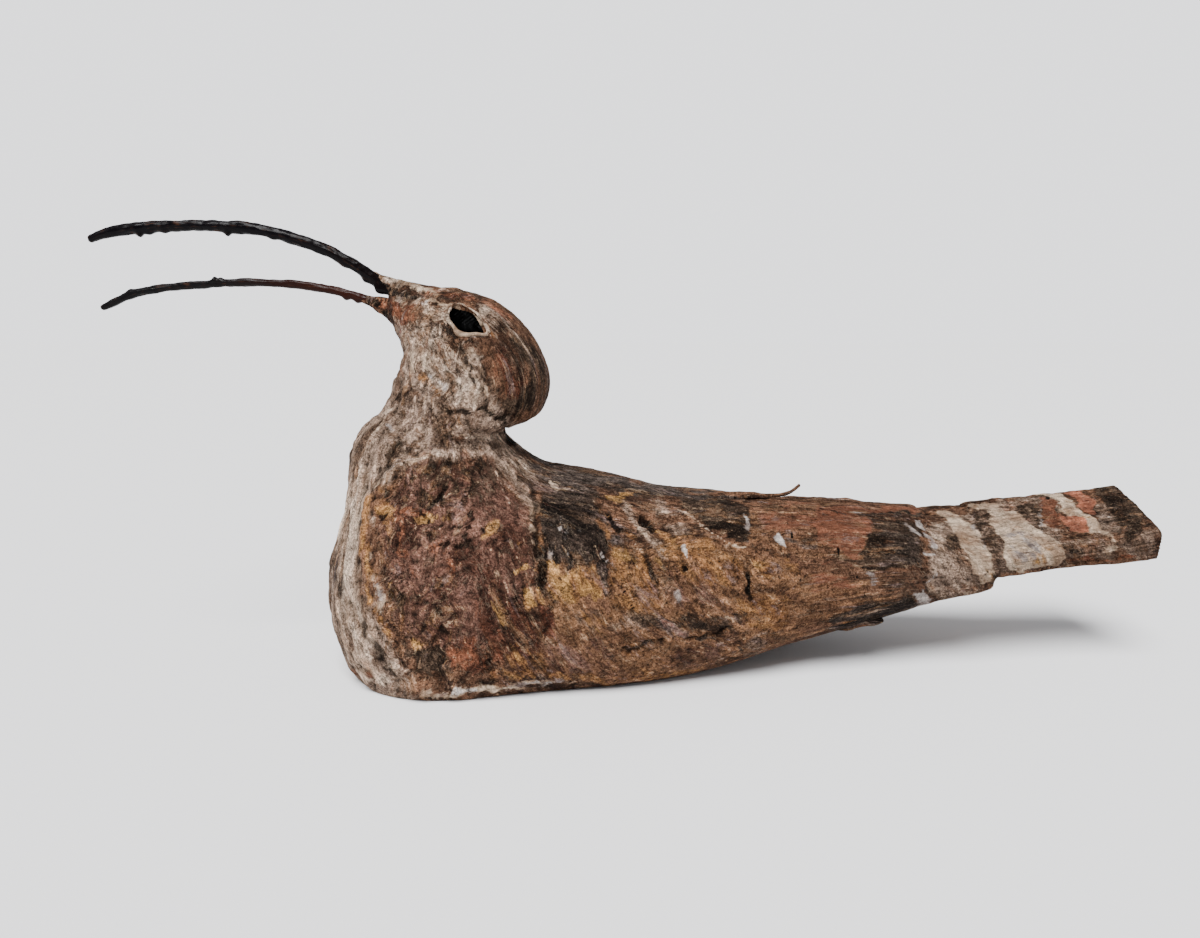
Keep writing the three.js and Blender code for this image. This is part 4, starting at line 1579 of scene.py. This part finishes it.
class Tree:
    """Builds the nodes of a material or a group."""

    def __init__(self, tree: bpy.types.NodeTree) -> None:
        """Starts on a tree."""
        self.tree = tree

    def node(self, kind: str, inputs: dict[int | str, Value] | None = None,
             **settings: str | bpy.types.NodeTree) -> bpy.types.Node:
        """Adds a node.

        Args:
            kind: Its type.
            inputs: Values or other nodes' sockets for its inputs, by name or number.
            **settings: Its own options.

        Returns:
            The node.
        """
        made = self.tree.nodes.new(kind)
        for key, value in settings.items():
            setattr(made, key, value)
        self.feed(made, inputs or {})
        return made

    def feed(self, node: bpy.types.Node, inputs: dict[int | str, Value]) -> None:
        """Links a node's inputs to other nodes' sockets, or sets their values.

        Args:
            node: The node.
            inputs: A socket or a value for each input, by name or number.
        """
        for key, value in inputs.items():
            if isinstance(value, bpy.types.NodeSocket):
                self.tree.links.new(value, node.inputs[key])
            else:
                node.inputs[key].default_value = value

    def math(self, operation: str, a: Value, b: Value = 0.0, c: Value = 0.0) -> bpy.types.NodeSocket:
        """Arithmetic on up to three numbers."""
        return self.node("ShaderNodeMath", {0: a, 1: b, 2: c}, operation=operation).outputs[0]

    def times(self, a: Value, b: Value) -> bpy.types.NodeSocket:
        """The product of two numbers."""
        return self.math("MULTIPLY", a, b)

    def off_half(self, value: Value) -> bpy.types.NodeSocket:
        """How far a value is from one half."""
        return self.math("ABSOLUTE", self.math("SUBTRACT", value, 0.5))

    def ramp(self, value: Value, low: Value, high: Value, to_low: float = 0.0,
             to_high: float = 1.0) -> bpy.types.NodeSocket:
        """Carries a range smoothly onto another, as 3u squared minus 2u cubed.

        Args:
            value: What is carried over.
            low: Start of its range.
            high: End of its range.
            to_low: Start of the new range.
            to_high: End of the new range.

        Returns:
            The result's socket.
        """
        inputs = {"Value": value, "From Min": low, "From Max": high, "To Min": to_low, "To Max": to_high}
        return self.node("ShaderNodeMapRange", inputs, interpolation_type="SMOOTHSTEP").outputs["Result"]

    def mix(self, share: Value, under: Value, over: Value) -> bpy.types.NodeSocket:
        """Mixes two colours."""
        return self.node("ShaderNodeMix", {0: share, 6: under, 7: over}, data_type="RGBA").outputs[2]

    def noise(self, vector: Value, scale: Value, detail: float, rough: float, warp: float = 0.0,
              output: str = "Fac") -> bpy.types.NodeSocket:
        """A fractal noise field.

        Args:
            vector: Where it is read.
            scale: Cells in a metre.
            detail: How many finer fields are added.
            rough: Their share.
            warp: How far it is bent by itself.
            output: Fac for one field, Color for three.

        Returns:
            The field's socket.
        """
        inputs = {"Vector": vector, "Scale": scale, "Detail": detail, "Roughness": rough, "Distortion": warp}
        return self.node("ShaderNodeTexNoise", inputs).outputs[output]

    def along(self, vector: Value, share: float) -> bpy.types.NodeSocket:
        """A vector whose first axis is shortened, which draws out what is read from it along that axis."""
        return self.node("ShaderNodeMapping", {"Vector": vector, "Scale": (share, 1.0, 1.0)}).outputs[0]

    def attribute(self, name: str, output: str = "Fac") -> bpy.types.NodeSocket:
        """Reads what is stored on the mesh under a name."""
        return self.node("ShaderNodeAttribute", attribute_name=name).outputs[output]

    def place(self) -> bpy.types.NodeSocket:
        """The place on the object."""
        return self.node("ShaderNodeTexCoord").outputs["Object"]

    def bump(self, height: Value, strength: float, distance: float) -> bpy.types.NodeSocket:
        """A normal that is tilted by the slope of a height."""
        inputs = {"Height": height, "Strength": strength, "Distance": distance}
        return self.node("ShaderNodeBump", inputs).outputs[0]


def new_material(name: str) -> tuple[bpy.types.Material, Tree, bpy.types.Node]:
    """Makes a material.

    Args:
        name: Its name.

    Returns:
        The material, its tree's builder and its shader.
    """
    material = bpy.data.materials.new(name)
    material.use_nodes = True
    return material, Tree(material.node_tree), material.node_tree.nodes["Principled BSDF"]


def paint(red: int, green: int, blue: int) -> Colour:
    """A colour from its values of 0 to 255 as seen under this light, made linear by a power."""
    return (*(min(0.86, 1.38 * (v / 255) ** 2.85) for v in (red, green, blue)), 1.0)


def new_group(name: str, colours: tuple[str, ...], vectors: tuple[str, ...], numbers: dict[str, float],
              outputs: tuple[str, ...]) -> tuple[Tree, bpy.types.NodeInputs, bpy.types.Node]:
    """Makes an empty shader node group.

    Args:
        name: The group's name.
        colours: Its inputs that are colours.
        vectors: Its inputs that are vectors.
        numbers: Its inputs that are numbers, with their values.
        outputs: Its outputs: Color is a colour, any other a number.

    Returns:
        The tree's builder, the sockets of its input node, and its output node.
    """
    group = bpy.data.node_groups.new(name, "ShaderNodeTree")
    kinds = [(key, "NodeSocketColor") for key in colours] + [(key, "NodeSocketVector") for key in vectors]
    for key, kind in kinds:
        group.interface.new_socket(key, in_out="INPUT", socket_type=kind)
    for key, value in numbers.items():
        group.interface.new_socket(key, in_out="INPUT", socket_type="NodeSocketFloat").default_value = value
    for key in outputs:
        kind = "NodeSocketColor" if key == "Color" else "NodeSocketFloat"
        group.interface.new_socket(key, in_out="OUTPUT", socket_type=kind)
    tree = Tree(group)
    return tree, tree.node("NodeGroupInput").outputs, tree.node("NodeGroupOutput")


class Groups:
    """Shader groups that several layers share, each built once."""

    def __init__(self) -> None:
        """Builds the groups."""
        self.coat = self.build_coat()
        self.fields = self.build_fields()
        self.weather = self.build_weather()
        self.flecks = self.build_flecks()

    def build_coat(self) -> bpy.types.NodeTree:
        """A coat of paint: it covers where depth plus a share of a field is above zero.

        Its edge is as ragged as that field, and another field drifts between its two colours.

        Returns:
            The group.
        """
        tree, given, out = new_group(
            "ragged_coat", ("Under", "Light", "Dark"), (),
            {"Depth": -1.0, "Edge": 0.5, "Drift": 0.5, "Ragged": 0.8, "Hard": 0.25, "Worn": 0.0},
            ("Color", "Amount"))
        shift = tree.times(tree.math("SUBTRACT", given["Edge"], 0.5), given["Ragged"])
        depth = tree.math("MULTIPLY_ADD", shift, 8.0, tree.math("SUBTRACT", given["Depth"], given["Worn"]))
        amount = tree.ramp(depth, tree.times(given["Hard"], -1.0), given["Hard"])
        colour = tree.mix(tree.ramp(given["Drift"], 0.40, 0.60), given["Light"], given["Dark"])
        tree.feed(out, {"Color": tree.mix(amount, given["Under"], colour), "Amount": amount})
        return tree.tree

    def build_fields(self) -> bpy.types.NodeTree:
        """Three independent streaky fields, along the grain or, by two shares, along the strokes.

        Returns:
            The group.
        """
        tree, given, out = new_group(
            "streaky_fields", (), ("Grain", "Sweep", "Swirl"),
            {"Sweep Share": 0.0, "Swirl Share": 0.0, "Scale": 150.0}, ("A", "B", "C"))
        grain, sweep, swirl = (
            tree.noise(tree.along(given[name], share), given["Scale"], 6.0, 0.66, 0.3, "Color")
            for name, share in (("Grain", 0.22), ("Sweep", 0.24), ("Swirl", 0.34)))
        blended = tree.mix(given["Swirl Share"], tree.mix(given["Sweep Share"], grain, sweep), swirl)
        parts = tree.node("ShaderNodeSeparateColor", {"Color": blended}).outputs
        tree.feed(out, {"A": parts["Red"], "B": parts["Green"], "C": parts["Blue"]})
        return tree.tree

    def build_weather(self) -> bpy.types.NodeTree:
        """Fine grain, crumbs, pits, creases and cracks, as a height and as the dirt and painted shade that
        lie in them.

        Cracks, creases and folds are narrow bands where a field passes one half.

        Returns:
            The group.
        """
        tree, given, out = new_group("weathering", (), ("Grain", "Place"), {"Woody": 1.0},
                                     ("Height", "Dirt And Shade", "Streak", "Crumb", "Grit"))
        grain, place, woody = given["Grain"], given["Place"], given["Woody"]
        band = tree.noise(tree.along(grain, 0.07), 560.0, 6.0, 0.75)
        crumb = tree.noise(place, 480.0, 6.0, 0.72, 0.6)
        grit = tree.noise(place, 1300.0, 4.0, 0.75, 0.3)
        patchy = tree.noise(place, 70.0, 4.0, 0.62)
        broad_fold = tree.off_half(tree.noise(tree.along(grain, 0.40), 190.0, 5.0, 0.62, 1.6))
        fine_fold = tree.off_half(tree.noise(place, 430.0, 4.0, 0.6, 1.2))
        crack = tree.off_half(tree.noise(tree.along(grain, 0.12), 150.0, 5.0, 0.7, 0.5))
        cell = tree.node("ShaderNodeTexVoronoi", {"Vector": place, "Scale": 330.0, "Randomness": 1.0},
                         feature="F1").outputs["Distance"]
        pits = tree.times(tree.ramp(cell, 0.06, 0.26, 1.0, 0.0), tree.ramp(patchy, 0.50, 0.60))
        cracks = tree.times(tree.ramp(crack, 0.004, 0.034, 1.0, 0.0),
                            tree.times(tree.ramp(patchy, 0.58, 0.44), woody))
        creases = tree.times(tree.ramp(broad_fold, 0.0, 0.050, 1.0, 0.0), tree.ramp(patchy, 0.50, 0.60))
        nicks = tree.times(tree.ramp(fine_fold, 0.0, 0.075, 1.0, 0.0), tree.ramp(crumb, 0.50, 0.42))
        height = tree.times(crumb, 1.5)
        for part, share in ((grit, 0.5), (tree.times(band, 1.3), woody),
                            (tree.ramp(broad_fold, 0.0, 0.10), 0.5), (tree.ramp(fine_fold, 0.0, 0.10), 0.35)):
            height = tree.math("MULTIPLY_ADD", part, share, height)
        for part, share in ((pits, 0.5), (cracks, 0.6)):
            height = tree.math("SUBTRACT", height, tree.times(part, share))
        # Dirt and painted shade: how dark the pits, cracks, creases and nicks are painted.
        dirt_and_shade = tree.math("MAXIMUM", tree.math("MAXIMUM", pits, cracks), tree.times(creases, 0.95))
        dirt_and_shade = tree.math("MAXIMUM", dirt_and_shade, tree.times(nicks, 0.8))
        tree.feed(out, {"Height": height, "Dirt And Shade": dirt_and_shade, "Streak": band, "Crumb": crumb, "Grit": grit})
        return tree.tree

    def build_flecks(self) -> bpy.types.NodeTree:
        """Small flecks of a colour, wherever a fine field rises over a level.

        Returns:
            The group.
        """
        tree, given, out = new_group("flecks", ("Under", "Tint"), (),
                                     {"Field": 0.5, "Level": 0.62, "Amount": 0.5}, ("Color",))
        over = tree.times(tree.math("SUBTRACT", given["Field"], given["Level"]), 16.0)
        share = tree.times(tree.ramp(over, 0.0, 1.0), given["Amount"])
        tree.feed(out, {"Color": tree.mix(share, given["Under"], given["Tint"])})
        return tree.tree


@dataclass(frozen=True)
class Fleck:
    """A fleck's colour, which field makes it, how rare and how strong it is."""

    tint: Colour
    source: int
    level: float
    amount: float


@dataclass(frozen=True)
class CoatLook:
    """Two colours of a coat, how ragged its edge is, how hard, and how much of it has worn off."""

    light: Colour
    dark: Colour
    ragged: float
    hard: float
    worn: float


@dataclass(frozen=True)
class PaintedWood:
    """Old wood and filler under many thin, worn coats of paint.

    Attributes:
        base_light: Light tone of the bare wood.
        base_dark: Its dark tone.
        dirt_and_shade: Dark colour in cracks and hollows: dirt, and painted shade.
        dust_and_ridge_light: Pale colour on grit and on single strands: dust, and painted light where the
            grit stands on raised places.
        scales: Cells in a metre of the fine, the broad and the stroke-sized fields.
        flecks: Flecks over the coats. Their sources are the fine fields, the strokes' and the crumbs' low
            places, where the last, near-black flecks are painted shade.
        thick: The coats that calm the shading over them.
        looks: Each coat's look, from the lowest up.
    """

    base_light: Colour = paint(140, 104, 78)
    base_dark: Colour = paint(74, 54, 44)
    dirt_and_shade: Colour = paint(34, 27, 23)
    dust_and_ridge_light: Colour = paint(198, 180, 160)
    scales: tuple[float, float, float] = (150.0, 75.0, 420.0)
    flecks: tuple[Fleck, ...] = (
        Fleck(paint(164, 122, 80), 0, 0.57, 0.30), Fleck(paint(96, 62, 46), 1, 0.58, 0.35),
        Fleck(paint(140, 122, 118), 2, 0.58, 0.35), Fleck(paint(92, 74, 60), 4, 0.56, 0.40),
        Fleck(paint(186, 160, 130), 3, 0.585, 0.34), Fleck(paint(46, 35, 29), 5, 0.57, 0.50),
        # Painted shade: near-black flecks in the lowest crumbs.
        Fleck(paint(24, 19, 17), 6, 0.61, 0.75),
    )
    thick: tuple[Coat, ...] = (Coat.TERRACOTTA, Coat.CREAM, Coat.SALMON, Coat.PALE)
    looks: dict[Coat, CoatLook] = field(default_factory=lambda: {
        Coat.TAN: CoatLook(paint(148, 110, 76), paint(100, 72, 50), 0.9, 0.6, 0.2),
        Coat.GREY: CoatLook(paint(173, 149, 131), paint(114, 92, 76), 0.9, 0.6, 0.1),
        Coat.BEIGE: CoatLook(paint(205, 183, 163), paint(158, 131, 109), 0.9, 0.5, 0.2),
        Coat.PLUM: CoatLook(paint(135, 100, 85), paint(90, 62, 50), 0.9, 0.6, 0.1),
        Coat.OCHRE: CoatLook(paint(170, 124, 70), paint(124, 87, 50), 0.9, 0.5, 0.15),
        Coat.RUST: CoatLook(paint(149, 95, 62), paint(88, 55, 40), 0.9, 0.5, 0.2),
        Coat.TERRACOTTA: CoatLook(paint(140, 92, 65), paint(114, 75, 54), 0.7, 0.3, 0.0),
        Coat.UMBER: CoatLook(paint(100, 82, 68), paint(58, 46, 38), 0.9, 0.5, 0.15),
        Coat.SLATE: CoatLook(paint(112, 99, 91), paint(64, 56, 52), 0.9, 0.6, 0.15),
        Coat.CREAM: CoatLook(paint(213, 190, 166), paint(166, 139, 115), 0.7, 0.4, 0.1),
        Coat.YELLOW: CoatLook(paint(198, 152, 82), paint(146, 104, 56), 0.9, 0.5, 0.25),
        Coat.SALMON: CoatLook(paint(190, 118, 80), paint(148, 94, 70), 0.7, 0.4, 0.1),
        # Dark paint, and painted shade in cracks and gaps.
        Coat.DARK_AND_CRACK_SHADE: CoatLook(paint(90, 77, 69), paint(28, 24, 23), 0.9, 0.5, 0.2),
        Coat.PALE: CoatLook(paint(204, 194, 188), paint(150, 137, 131), 0.8, 0.5, 0.3),
        # Painted shade in small holes and pits.
        Coat.HOLE_SHADE: CoatLook(paint(12, 10, 10), paint(8, 7, 7), 0.1, 0.4, 0.0),
    })

    def fields(self, tree: Tree, groups: Groups, scale: float) -> tuple[bpy.types.NodeSocket, ...]:
        """Adds three streaky fields of one scale.

        Args:
            tree: The material's tree.
            groups: The shared groups.
            scale: Cells in a metre.

        Returns:
            The fields' sockets.
        """
        inputs = {"Grain": tree.attribute("grain", "Vector"), "Sweep": tree.attribute("sweep", "Vector"),
                  "Swirl": tree.attribute("swirl", "Vector"), "Scale": scale,
                  "Sweep Share": tree.attribute("sweep_share"), "Swirl Share": tree.attribute("swirl_share")}
        return tuple(tree.node("ShaderNodeGroup", inputs, node_tree=groups.fields).outputs)

    def coats(self, tree: Tree, groups: Groups, fine: tuple[bpy.types.NodeSocket, ...],
              broad: tuple[bpy.types.NodeSocket, ...]) -> tuple[Value, Value]:
        """Lays each coat over the wood, its edge and its drift taken from the fields in turn.

        Args:
            tree: The material's tree.
            groups: The shared groups.
            fine: The fine fields.
            broad: The broad fields.

        Returns:
            The colour, and how far thick coats cover what is below.
        """
        cover: Value = 0.0
        colour = tree.mix(tree.ramp(broad[0], 0.38, 0.62), self.base_light, self.base_dark)
        for number, (coat, look) in enumerate(self.looks.items()):
            layer = tree.node("ShaderNodeGroup", {
                "Under": colour, "Depth": tree.attribute(coat.value), "Edge": fine[number % 3],
                "Drift": (broad if number % 2 else fine)[(number + 1) % 3], "Light": look.light,
                "Dark": look.dark, "Ragged": look.ragged, "Hard": look.hard, "Worn": look.worn,
            }, node_tree=groups.coat)
            colour = layer.outputs["Color"]
            if coat in self.thick:
                cover = tree.math("MAXIMUM", layer.outputs["Amount"], cover)
        return colour, cover

    def shade(self, tree: Tree, weather: bpy.types.NodeOutputs, brush: Value, stroke_field: Value) -> Value:
        """How light each place is painted: the product of streaks, crumbs, grit, relief, brush and strokes;
        the crumbs, grit and relief paint shade into low places and light onto high ones.

        Args:
            tree: The material's tree.
            weather: What the weathering puts out.
            brush: The field of the brush's marks.
            stroke_field: The field of the finer strokes.

        Returns:
            A factor round 1.
        """
        streak = tree.ramp(weather["Streak"], 0.30, 0.70, -0.38, 0.34)
        streak = tree.math("MULTIPLY_ADD", streak, tree.attribute("woody"), 1.0)
        # Painted shade and light: low crumbs darker, high ones lighter.
        streak = tree.times(streak, tree.ramp(weather["Crumb"], 0.36, 0.64, 0.72, 1.28))
        # Painted shade and light: hollows darkened, raised places lightened.
        relief = tree.ramp(tree.attribute("hollow"), -0.30, 0.30, 1.18, 0.62)
        # Grit, like the crumbs, paints shade in its low places and light on its high ones.
        shade = tree.times(streak, tree.times(tree.ramp(weather["Grit"], 0.36, 0.64, 0.48, 1.56), relief))
        shade = tree.times(shade, tree.ramp(brush, 0.36, 0.64, 0.82, 1.20))
        return tree.times(shade, tree.ramp(stroke_field, 0.36, 0.64, 0.66, 1.30))

    def build(self, groups: Groups) -> bpy.types.Material:
        """Makes the material: the wood, then each coat over it, then dirt and painted shade below, and dust
        and painted light on top.

        Args:
            groups: The shared groups.

        Returns:
            The material.
        """
        material, tree, shader = new_material("painted_wood")
        weather = tree.node("ShaderNodeGroup", {
            "Grain": tree.attribute("grain", "Vector"), "Place": tree.place(),
            "Woody": tree.attribute("woody"),
        }, node_tree=groups.weather).outputs
        fine, broad, strokes = (self.fields(tree, groups, scale) for scale in self.scales)
        colour, cover = self.coats(tree, groups, fine, broad)
        # The last source is the crumbs' low places, where the darkest flecks paint shade into their pits.
        sources = (*fine, *strokes, tree.math("SUBTRACT", 1.0, weather["Crumb"]))
        for fleck in self.flecks:
            colour = tree.node("ShaderNodeGroup", {
                "Under": colour, "Tint": fleck.tint, "Field": sources[fleck.source], "Level": fleck.level,
                "Amount": fleck.amount,
            }, node_tree=groups.flecks).outputs["Color"]
        calm = tree.times(cover, 0.5)
        shade = self.shade(tree, weather, fine[2], strokes[0])
        shade = tree.math("MULTIPLY_ADD", tree.math("SUBTRACT", 1.0, shade), calm, shade)
        # Paints this shade and light into the colour's value.
        colour = tree.node("ShaderNodeHueSaturation",
                           {"Color": colour, "Value": shade, "Saturation": 0.88}).outputs[0]
        # Painted shade: hollows, pits, cracks and creases are darkened towards the dark colour, less under
        # thick coats.
        hollow = tree.attribute("hollow")
        dirt_and_shade_share = tree.math("MAXIMUM", tree.ramp(hollow, 0.22, 0.60, 0.0, 0.85),
                          tree.times(weather["Dirt And Shade"], 0.85))
        colour = tree.mix(tree.times(dirt_and_shade_share, tree.math("SUBTRACT", 1.0, calm)), colour, self.dirt_and_shade)
        # Pale flecks on the grit, stronger on raised places: dust, and painted light on the ridges.
        grit = tree.times(tree.ramp(weather["Grit"], 0.60, 0.70), tree.ramp(hollow, -0.45, -0.10, 0.60, 0.25))
        colour = tree.mix(grit, colour, self.dust_and_ridge_light)
        strands = tree.times(tree.ramp(tree.off_half(strokes[1]), 0.0, 0.014, 0.26, 0.0),
                             tree.ramp(fine[0], 0.46, 0.58))
        tree.feed(shader, {"Base Color": tree.mix(strands, colour, self.dust_and_ridge_light), "Specular IOR Level": 0.05,
                           "Roughness": tree.ramp(weather["Crumb"], 0.4, 0.65, 0.90, 0.55),
                           "Normal": tree.bump(weather["Height"], 1.0, 1.25 * MM)})
        return material


@dataclass(frozen=True)
class Varnished:
    """Dark varnished twig, half gloss.

    Attributes:
        name: The material's name.
        tip: Colour at the tip.
        root: Colour at the root.
        turn: Where the one gives way to the other, in metres along the twig.
        warm: Colour of the worn fibres.
    """

    name: str
    tip: Colour
    root: Colour
    turn: tuple[float, float]
    warm: Colour = paint(92, 66, 50)

    def build(self) -> bpy.types.Material:
        """Makes the material; worn fibres show where two fields are both high.

        Returns:
            The material.
        """
        material, tree, shader = new_material(self.name)
        grain = tree.attribute("grain", "Vector")
        run = tree.node("ShaderNodeSeparateXYZ", {0: grain}).outputs["X"]
        fibre = tree.noise(tree.along(grain, 0.10), 1500.0, 4.0, 0.65)
        blotch = tree.noise(grain, 160.0, 4.0, 0.6)
        worn = tree.times(tree.ramp(fibre, 0.52, 0.70), tree.ramp(blotch, 0.45, 0.65))
        colour = tree.mix(tree.ramp(run, *self.turn), self.tip, self.root)
        tree.feed(shader, {"Base Color": tree.mix(tree.times(worn, 0.55), colour, self.warm),
                           "Roughness": tree.ramp(blotch, 0.35, 0.65, 0.17, 0.38),
                           "Specular IOR Level": 0.07, "Normal": tree.bump(fibre, 0.5, 0.25 * MM)})
        return material


@dataclass(frozen=True)
class SocketBlack:
    """Black gloss paint in the eye sockets."""

    low: Colour = paint(3, 3, 4)
    high: Colour = paint(9, 8, 10)

    def build(self) -> bpy.types.Material:
        """Makes the material: one lumpy field drives its colour, gloss and bump.

        Returns:
            The material.
        """
        material, tree, shader = new_material("socket_black")
        lumps = tree.noise(tree.place(), 420.0, 4.0, 0.6)
        tree.feed(shader, {"Base Color": tree.mix(lumps, self.low, self.high), "Specular IOR Level": 0.012,
                           "Roughness": tree.ramp(lumps, 0.35, 0.65, 0.22, 0.45),
                           "Normal": tree.bump(lumps, 0.6, 0.5 * MM)})
        return material


def dress_small(shell: Shell, name: str, material: bpy.types.Material) -> None:
    """Adds a small painted piece with the coats that lie where it is.

    Args:
        shell: The piece's surface.
        name: Its name.
        material: Painted wood.
    """
    mesh = shell.mesh(name)
    points, normals = shell.flat_rows(shell.points), shell.flat_rows(shell.normals)
    put_paint(mesh, coat_depths(points, normals), points, normals)
    add_piece(name, mesh, material)


@dataclass
class Studio:
    """Plain pale floor and soft light.

    Attributes:
        floor_size: Length of the floor's sides.
        floor_tone: The floor's colour.
        sky: Colour of the surroundings.
        sky_light: How strongly they light the bird.
        sky_seen: How much brighter they are where the camera sees them, to meet the floor.
        lamp_place: Where the lamp shines from, towards the middle of the floor.
        lamp_spread: The angle that it fills.
        lamp_strength: Its strength.
    """

    floor_size: float = 6.0
    floor_tone: Colour = (0.72, 0.72, 0.73, 1.0)
    sky: Colour = (0.87, 0.875, 0.90, 1.0)
    sky_light: float = 0.60
    sky_seen: float = 1.62
    lamp_place: tuple[float, float, float] = (-0.22, -0.62, 1.25)
    lamp_spread: float = math.radians(34)
    lamp_strength: float = 8.0

    def build(self) -> None:
        """Makes the floor, the pale surroundings and the lamp."""
        half = 0.5 * self.floor_size
        mesh = bpy.data.meshes.new("floor")
        mesh.from_pydata([(-half, -half, 0), (half, -half, 0), (half, half, 0), (-half, half, 0)], [],
                         [(0, 1, 2, 3)])
        floor = bpy.data.objects.new("floor", mesh)
        material, tree, shader = new_material("floor")
        tree.feed(shader, {"Base Color": self.floor_tone, "Roughness": 0.9})
        mesh.materials.append(material)
        bpy.context.scene.collection.objects.link(floor)
        world = bpy.data.worlds.new("world")
        world.use_nodes = True
        tree = Tree(world.node_tree)
        seen = tree.node("ShaderNodeLightPath").outputs["Is Camera Ray"]
        strength = tree.math("MULTIPLY_ADD", seen, self.sky_seen, self.sky_light)
        tree.feed(world.node_tree.nodes["Background"], {"Color": self.sky, "Strength": strength})
        bpy.context.scene.world = world
        data = bpy.data.lights.new("key", "SUN")
        data.angle = self.lamp_spread
        data.energy = self.lamp_strength
        lamp = bpy.data.objects.new("key", data)
        lamp.location = self.lamp_place
        lamp.rotation_euler = (-Vector(self.lamp_place)).to_track_quat("-Z", "Y").to_euler()
        bpy.context.scene.collection.objects.link(lamp)


UPPER_TWIG = Bar(
    ((-541, 499), (-515, 507), (-466, 514), (-422, 515), (-382, 514), (-348, 511), (-314, 504), (-283, 494),
     (-254, 481), (-227, 465), (-210, 452), (-198, 443), (-180, 438)),
    (1.8, 2.5, 2.7, 2.55, 2.65, 2.6, 2.7, 2.7, 2.7, 2.7), 520, 40, 0.30 * MM, 21, 1.0,
    ((0.16, 180, 1.6, 3), (0.19, 170, 1.0, 5), (0.24, 190, 0.8, 4), (0.43, 180, 1.5, 3), (0.57, 180, 0.9, 5),
     (0.62, 175, 0.6, 7), (0.80, 180, 0.9, 6), (0.88, 165, 1.5, 6), (0.93, 190, 1.9, 5),
     (0.91, 20, 1.0, 5)))
LOWER_TWIG = Bar(
    ((-534, 421), (-501, 436), (-464, 444), (-425, 448), (-367, 451), (-312, 449), (-272, 444), (-243, 437),
     (-224, 432), (-200, 426)),
    (1.5, 1.85, 1.9, 1.9, 2.0, 2.0, 2.0, 2.0, 2.1), 520, 40, 0.24 * MM, 24, 1.0,
    ((0.41, 0, 1.5, 3), (0.43, 10, 1.0, 3), (0.12, 0, 0.6, 4), (0.86, 180, 1.2, 4), (0.90, 170, 1.0, 4)))
TONGUE = Bar(((-224, 466), (-211, 459), (-195, 449), (-175, 438), (-158, 430)),
             (0.7, 1.9, 3.3, 5.2, 7.2), 140, 60, 0.35 * MM, 27)
CHIN = Bar(((-238, 434), (-222, 431), (-208, 426), (-192, 418), (-168, 405)),
           (1.3, 2.7, 4.3, 5.9, 8.8), 150, 60, 0.4 * MM, 30)
SPLINTER = Bar(((168, 192), (200, 195), (235, 196.5), (264, 197), (280, 201), (290, 208), (292, 211)),
               (2.2, 2.6, 2.2, 1.4, 0.9, 0.6), 160, 24, 0.25 * MM, 33, 1.8)

TOP_LAYER = Plate(((262, 184), (280, 188), (340, 186), (366, 184), (384, 180), (410, 178), (446, 177)),
                  ((262, 180), (300, 160), (446, 160)), 12.0 * MM, 0.0, math.radians(9),
                  184 * BODY_LENGTH / 1000)
FLAKE = Plate(((318, 61), (340, 64), (372, 63), (384, 61)), ((318, 47), (340, 48), (372, 54), (384, 60)),
              8.0 * MM, -20.0 * MM, seed=160)


def main() -> None:
    """Builds the bird piece by piece, then the studio."""
    logging.basicConfig(level=logging.INFO)
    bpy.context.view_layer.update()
    VIEW.build()
    groups = Groups()
    wood = PaintedWood().build(groups)
    socket_black = SocketBlack().build()
    body = Body()
    plain = body.shell()
    body.build(plain, wood)
    for side in (-1, 1):
        Eye(side).build(plain.points.reshape(-1, 3), wood, socket_black)
    for name, part in (("tongue_filler", TONGUE), ("chin_filler", CHIN), ("back_splinter", SPLINTER),
                       ("rump_layer", TOP_LAYER), ("rump_flake", FLAKE)):
        dress_small(part.shell(), name, wood)
    black = Varnished("black_twig", paint(24, 21, 25), paint(27, 21, 22), (0.08, 0.15)).build()
    brown = Varnished("red_brown_twig", paint(32, 31, 32), paint(56, 34, 28), (0.05, 0.12)).build()
    add_piece("upper_twig", UPPER_TWIG.shell().mesh("upper_twig"), black, "upper_beak")
    add_piece("lower_twig", LOWER_TWIG.shell().mesh("lower_twig"), brown, "lower_beak")
    Studio().build()


if __name__ == "__main__":
    main()
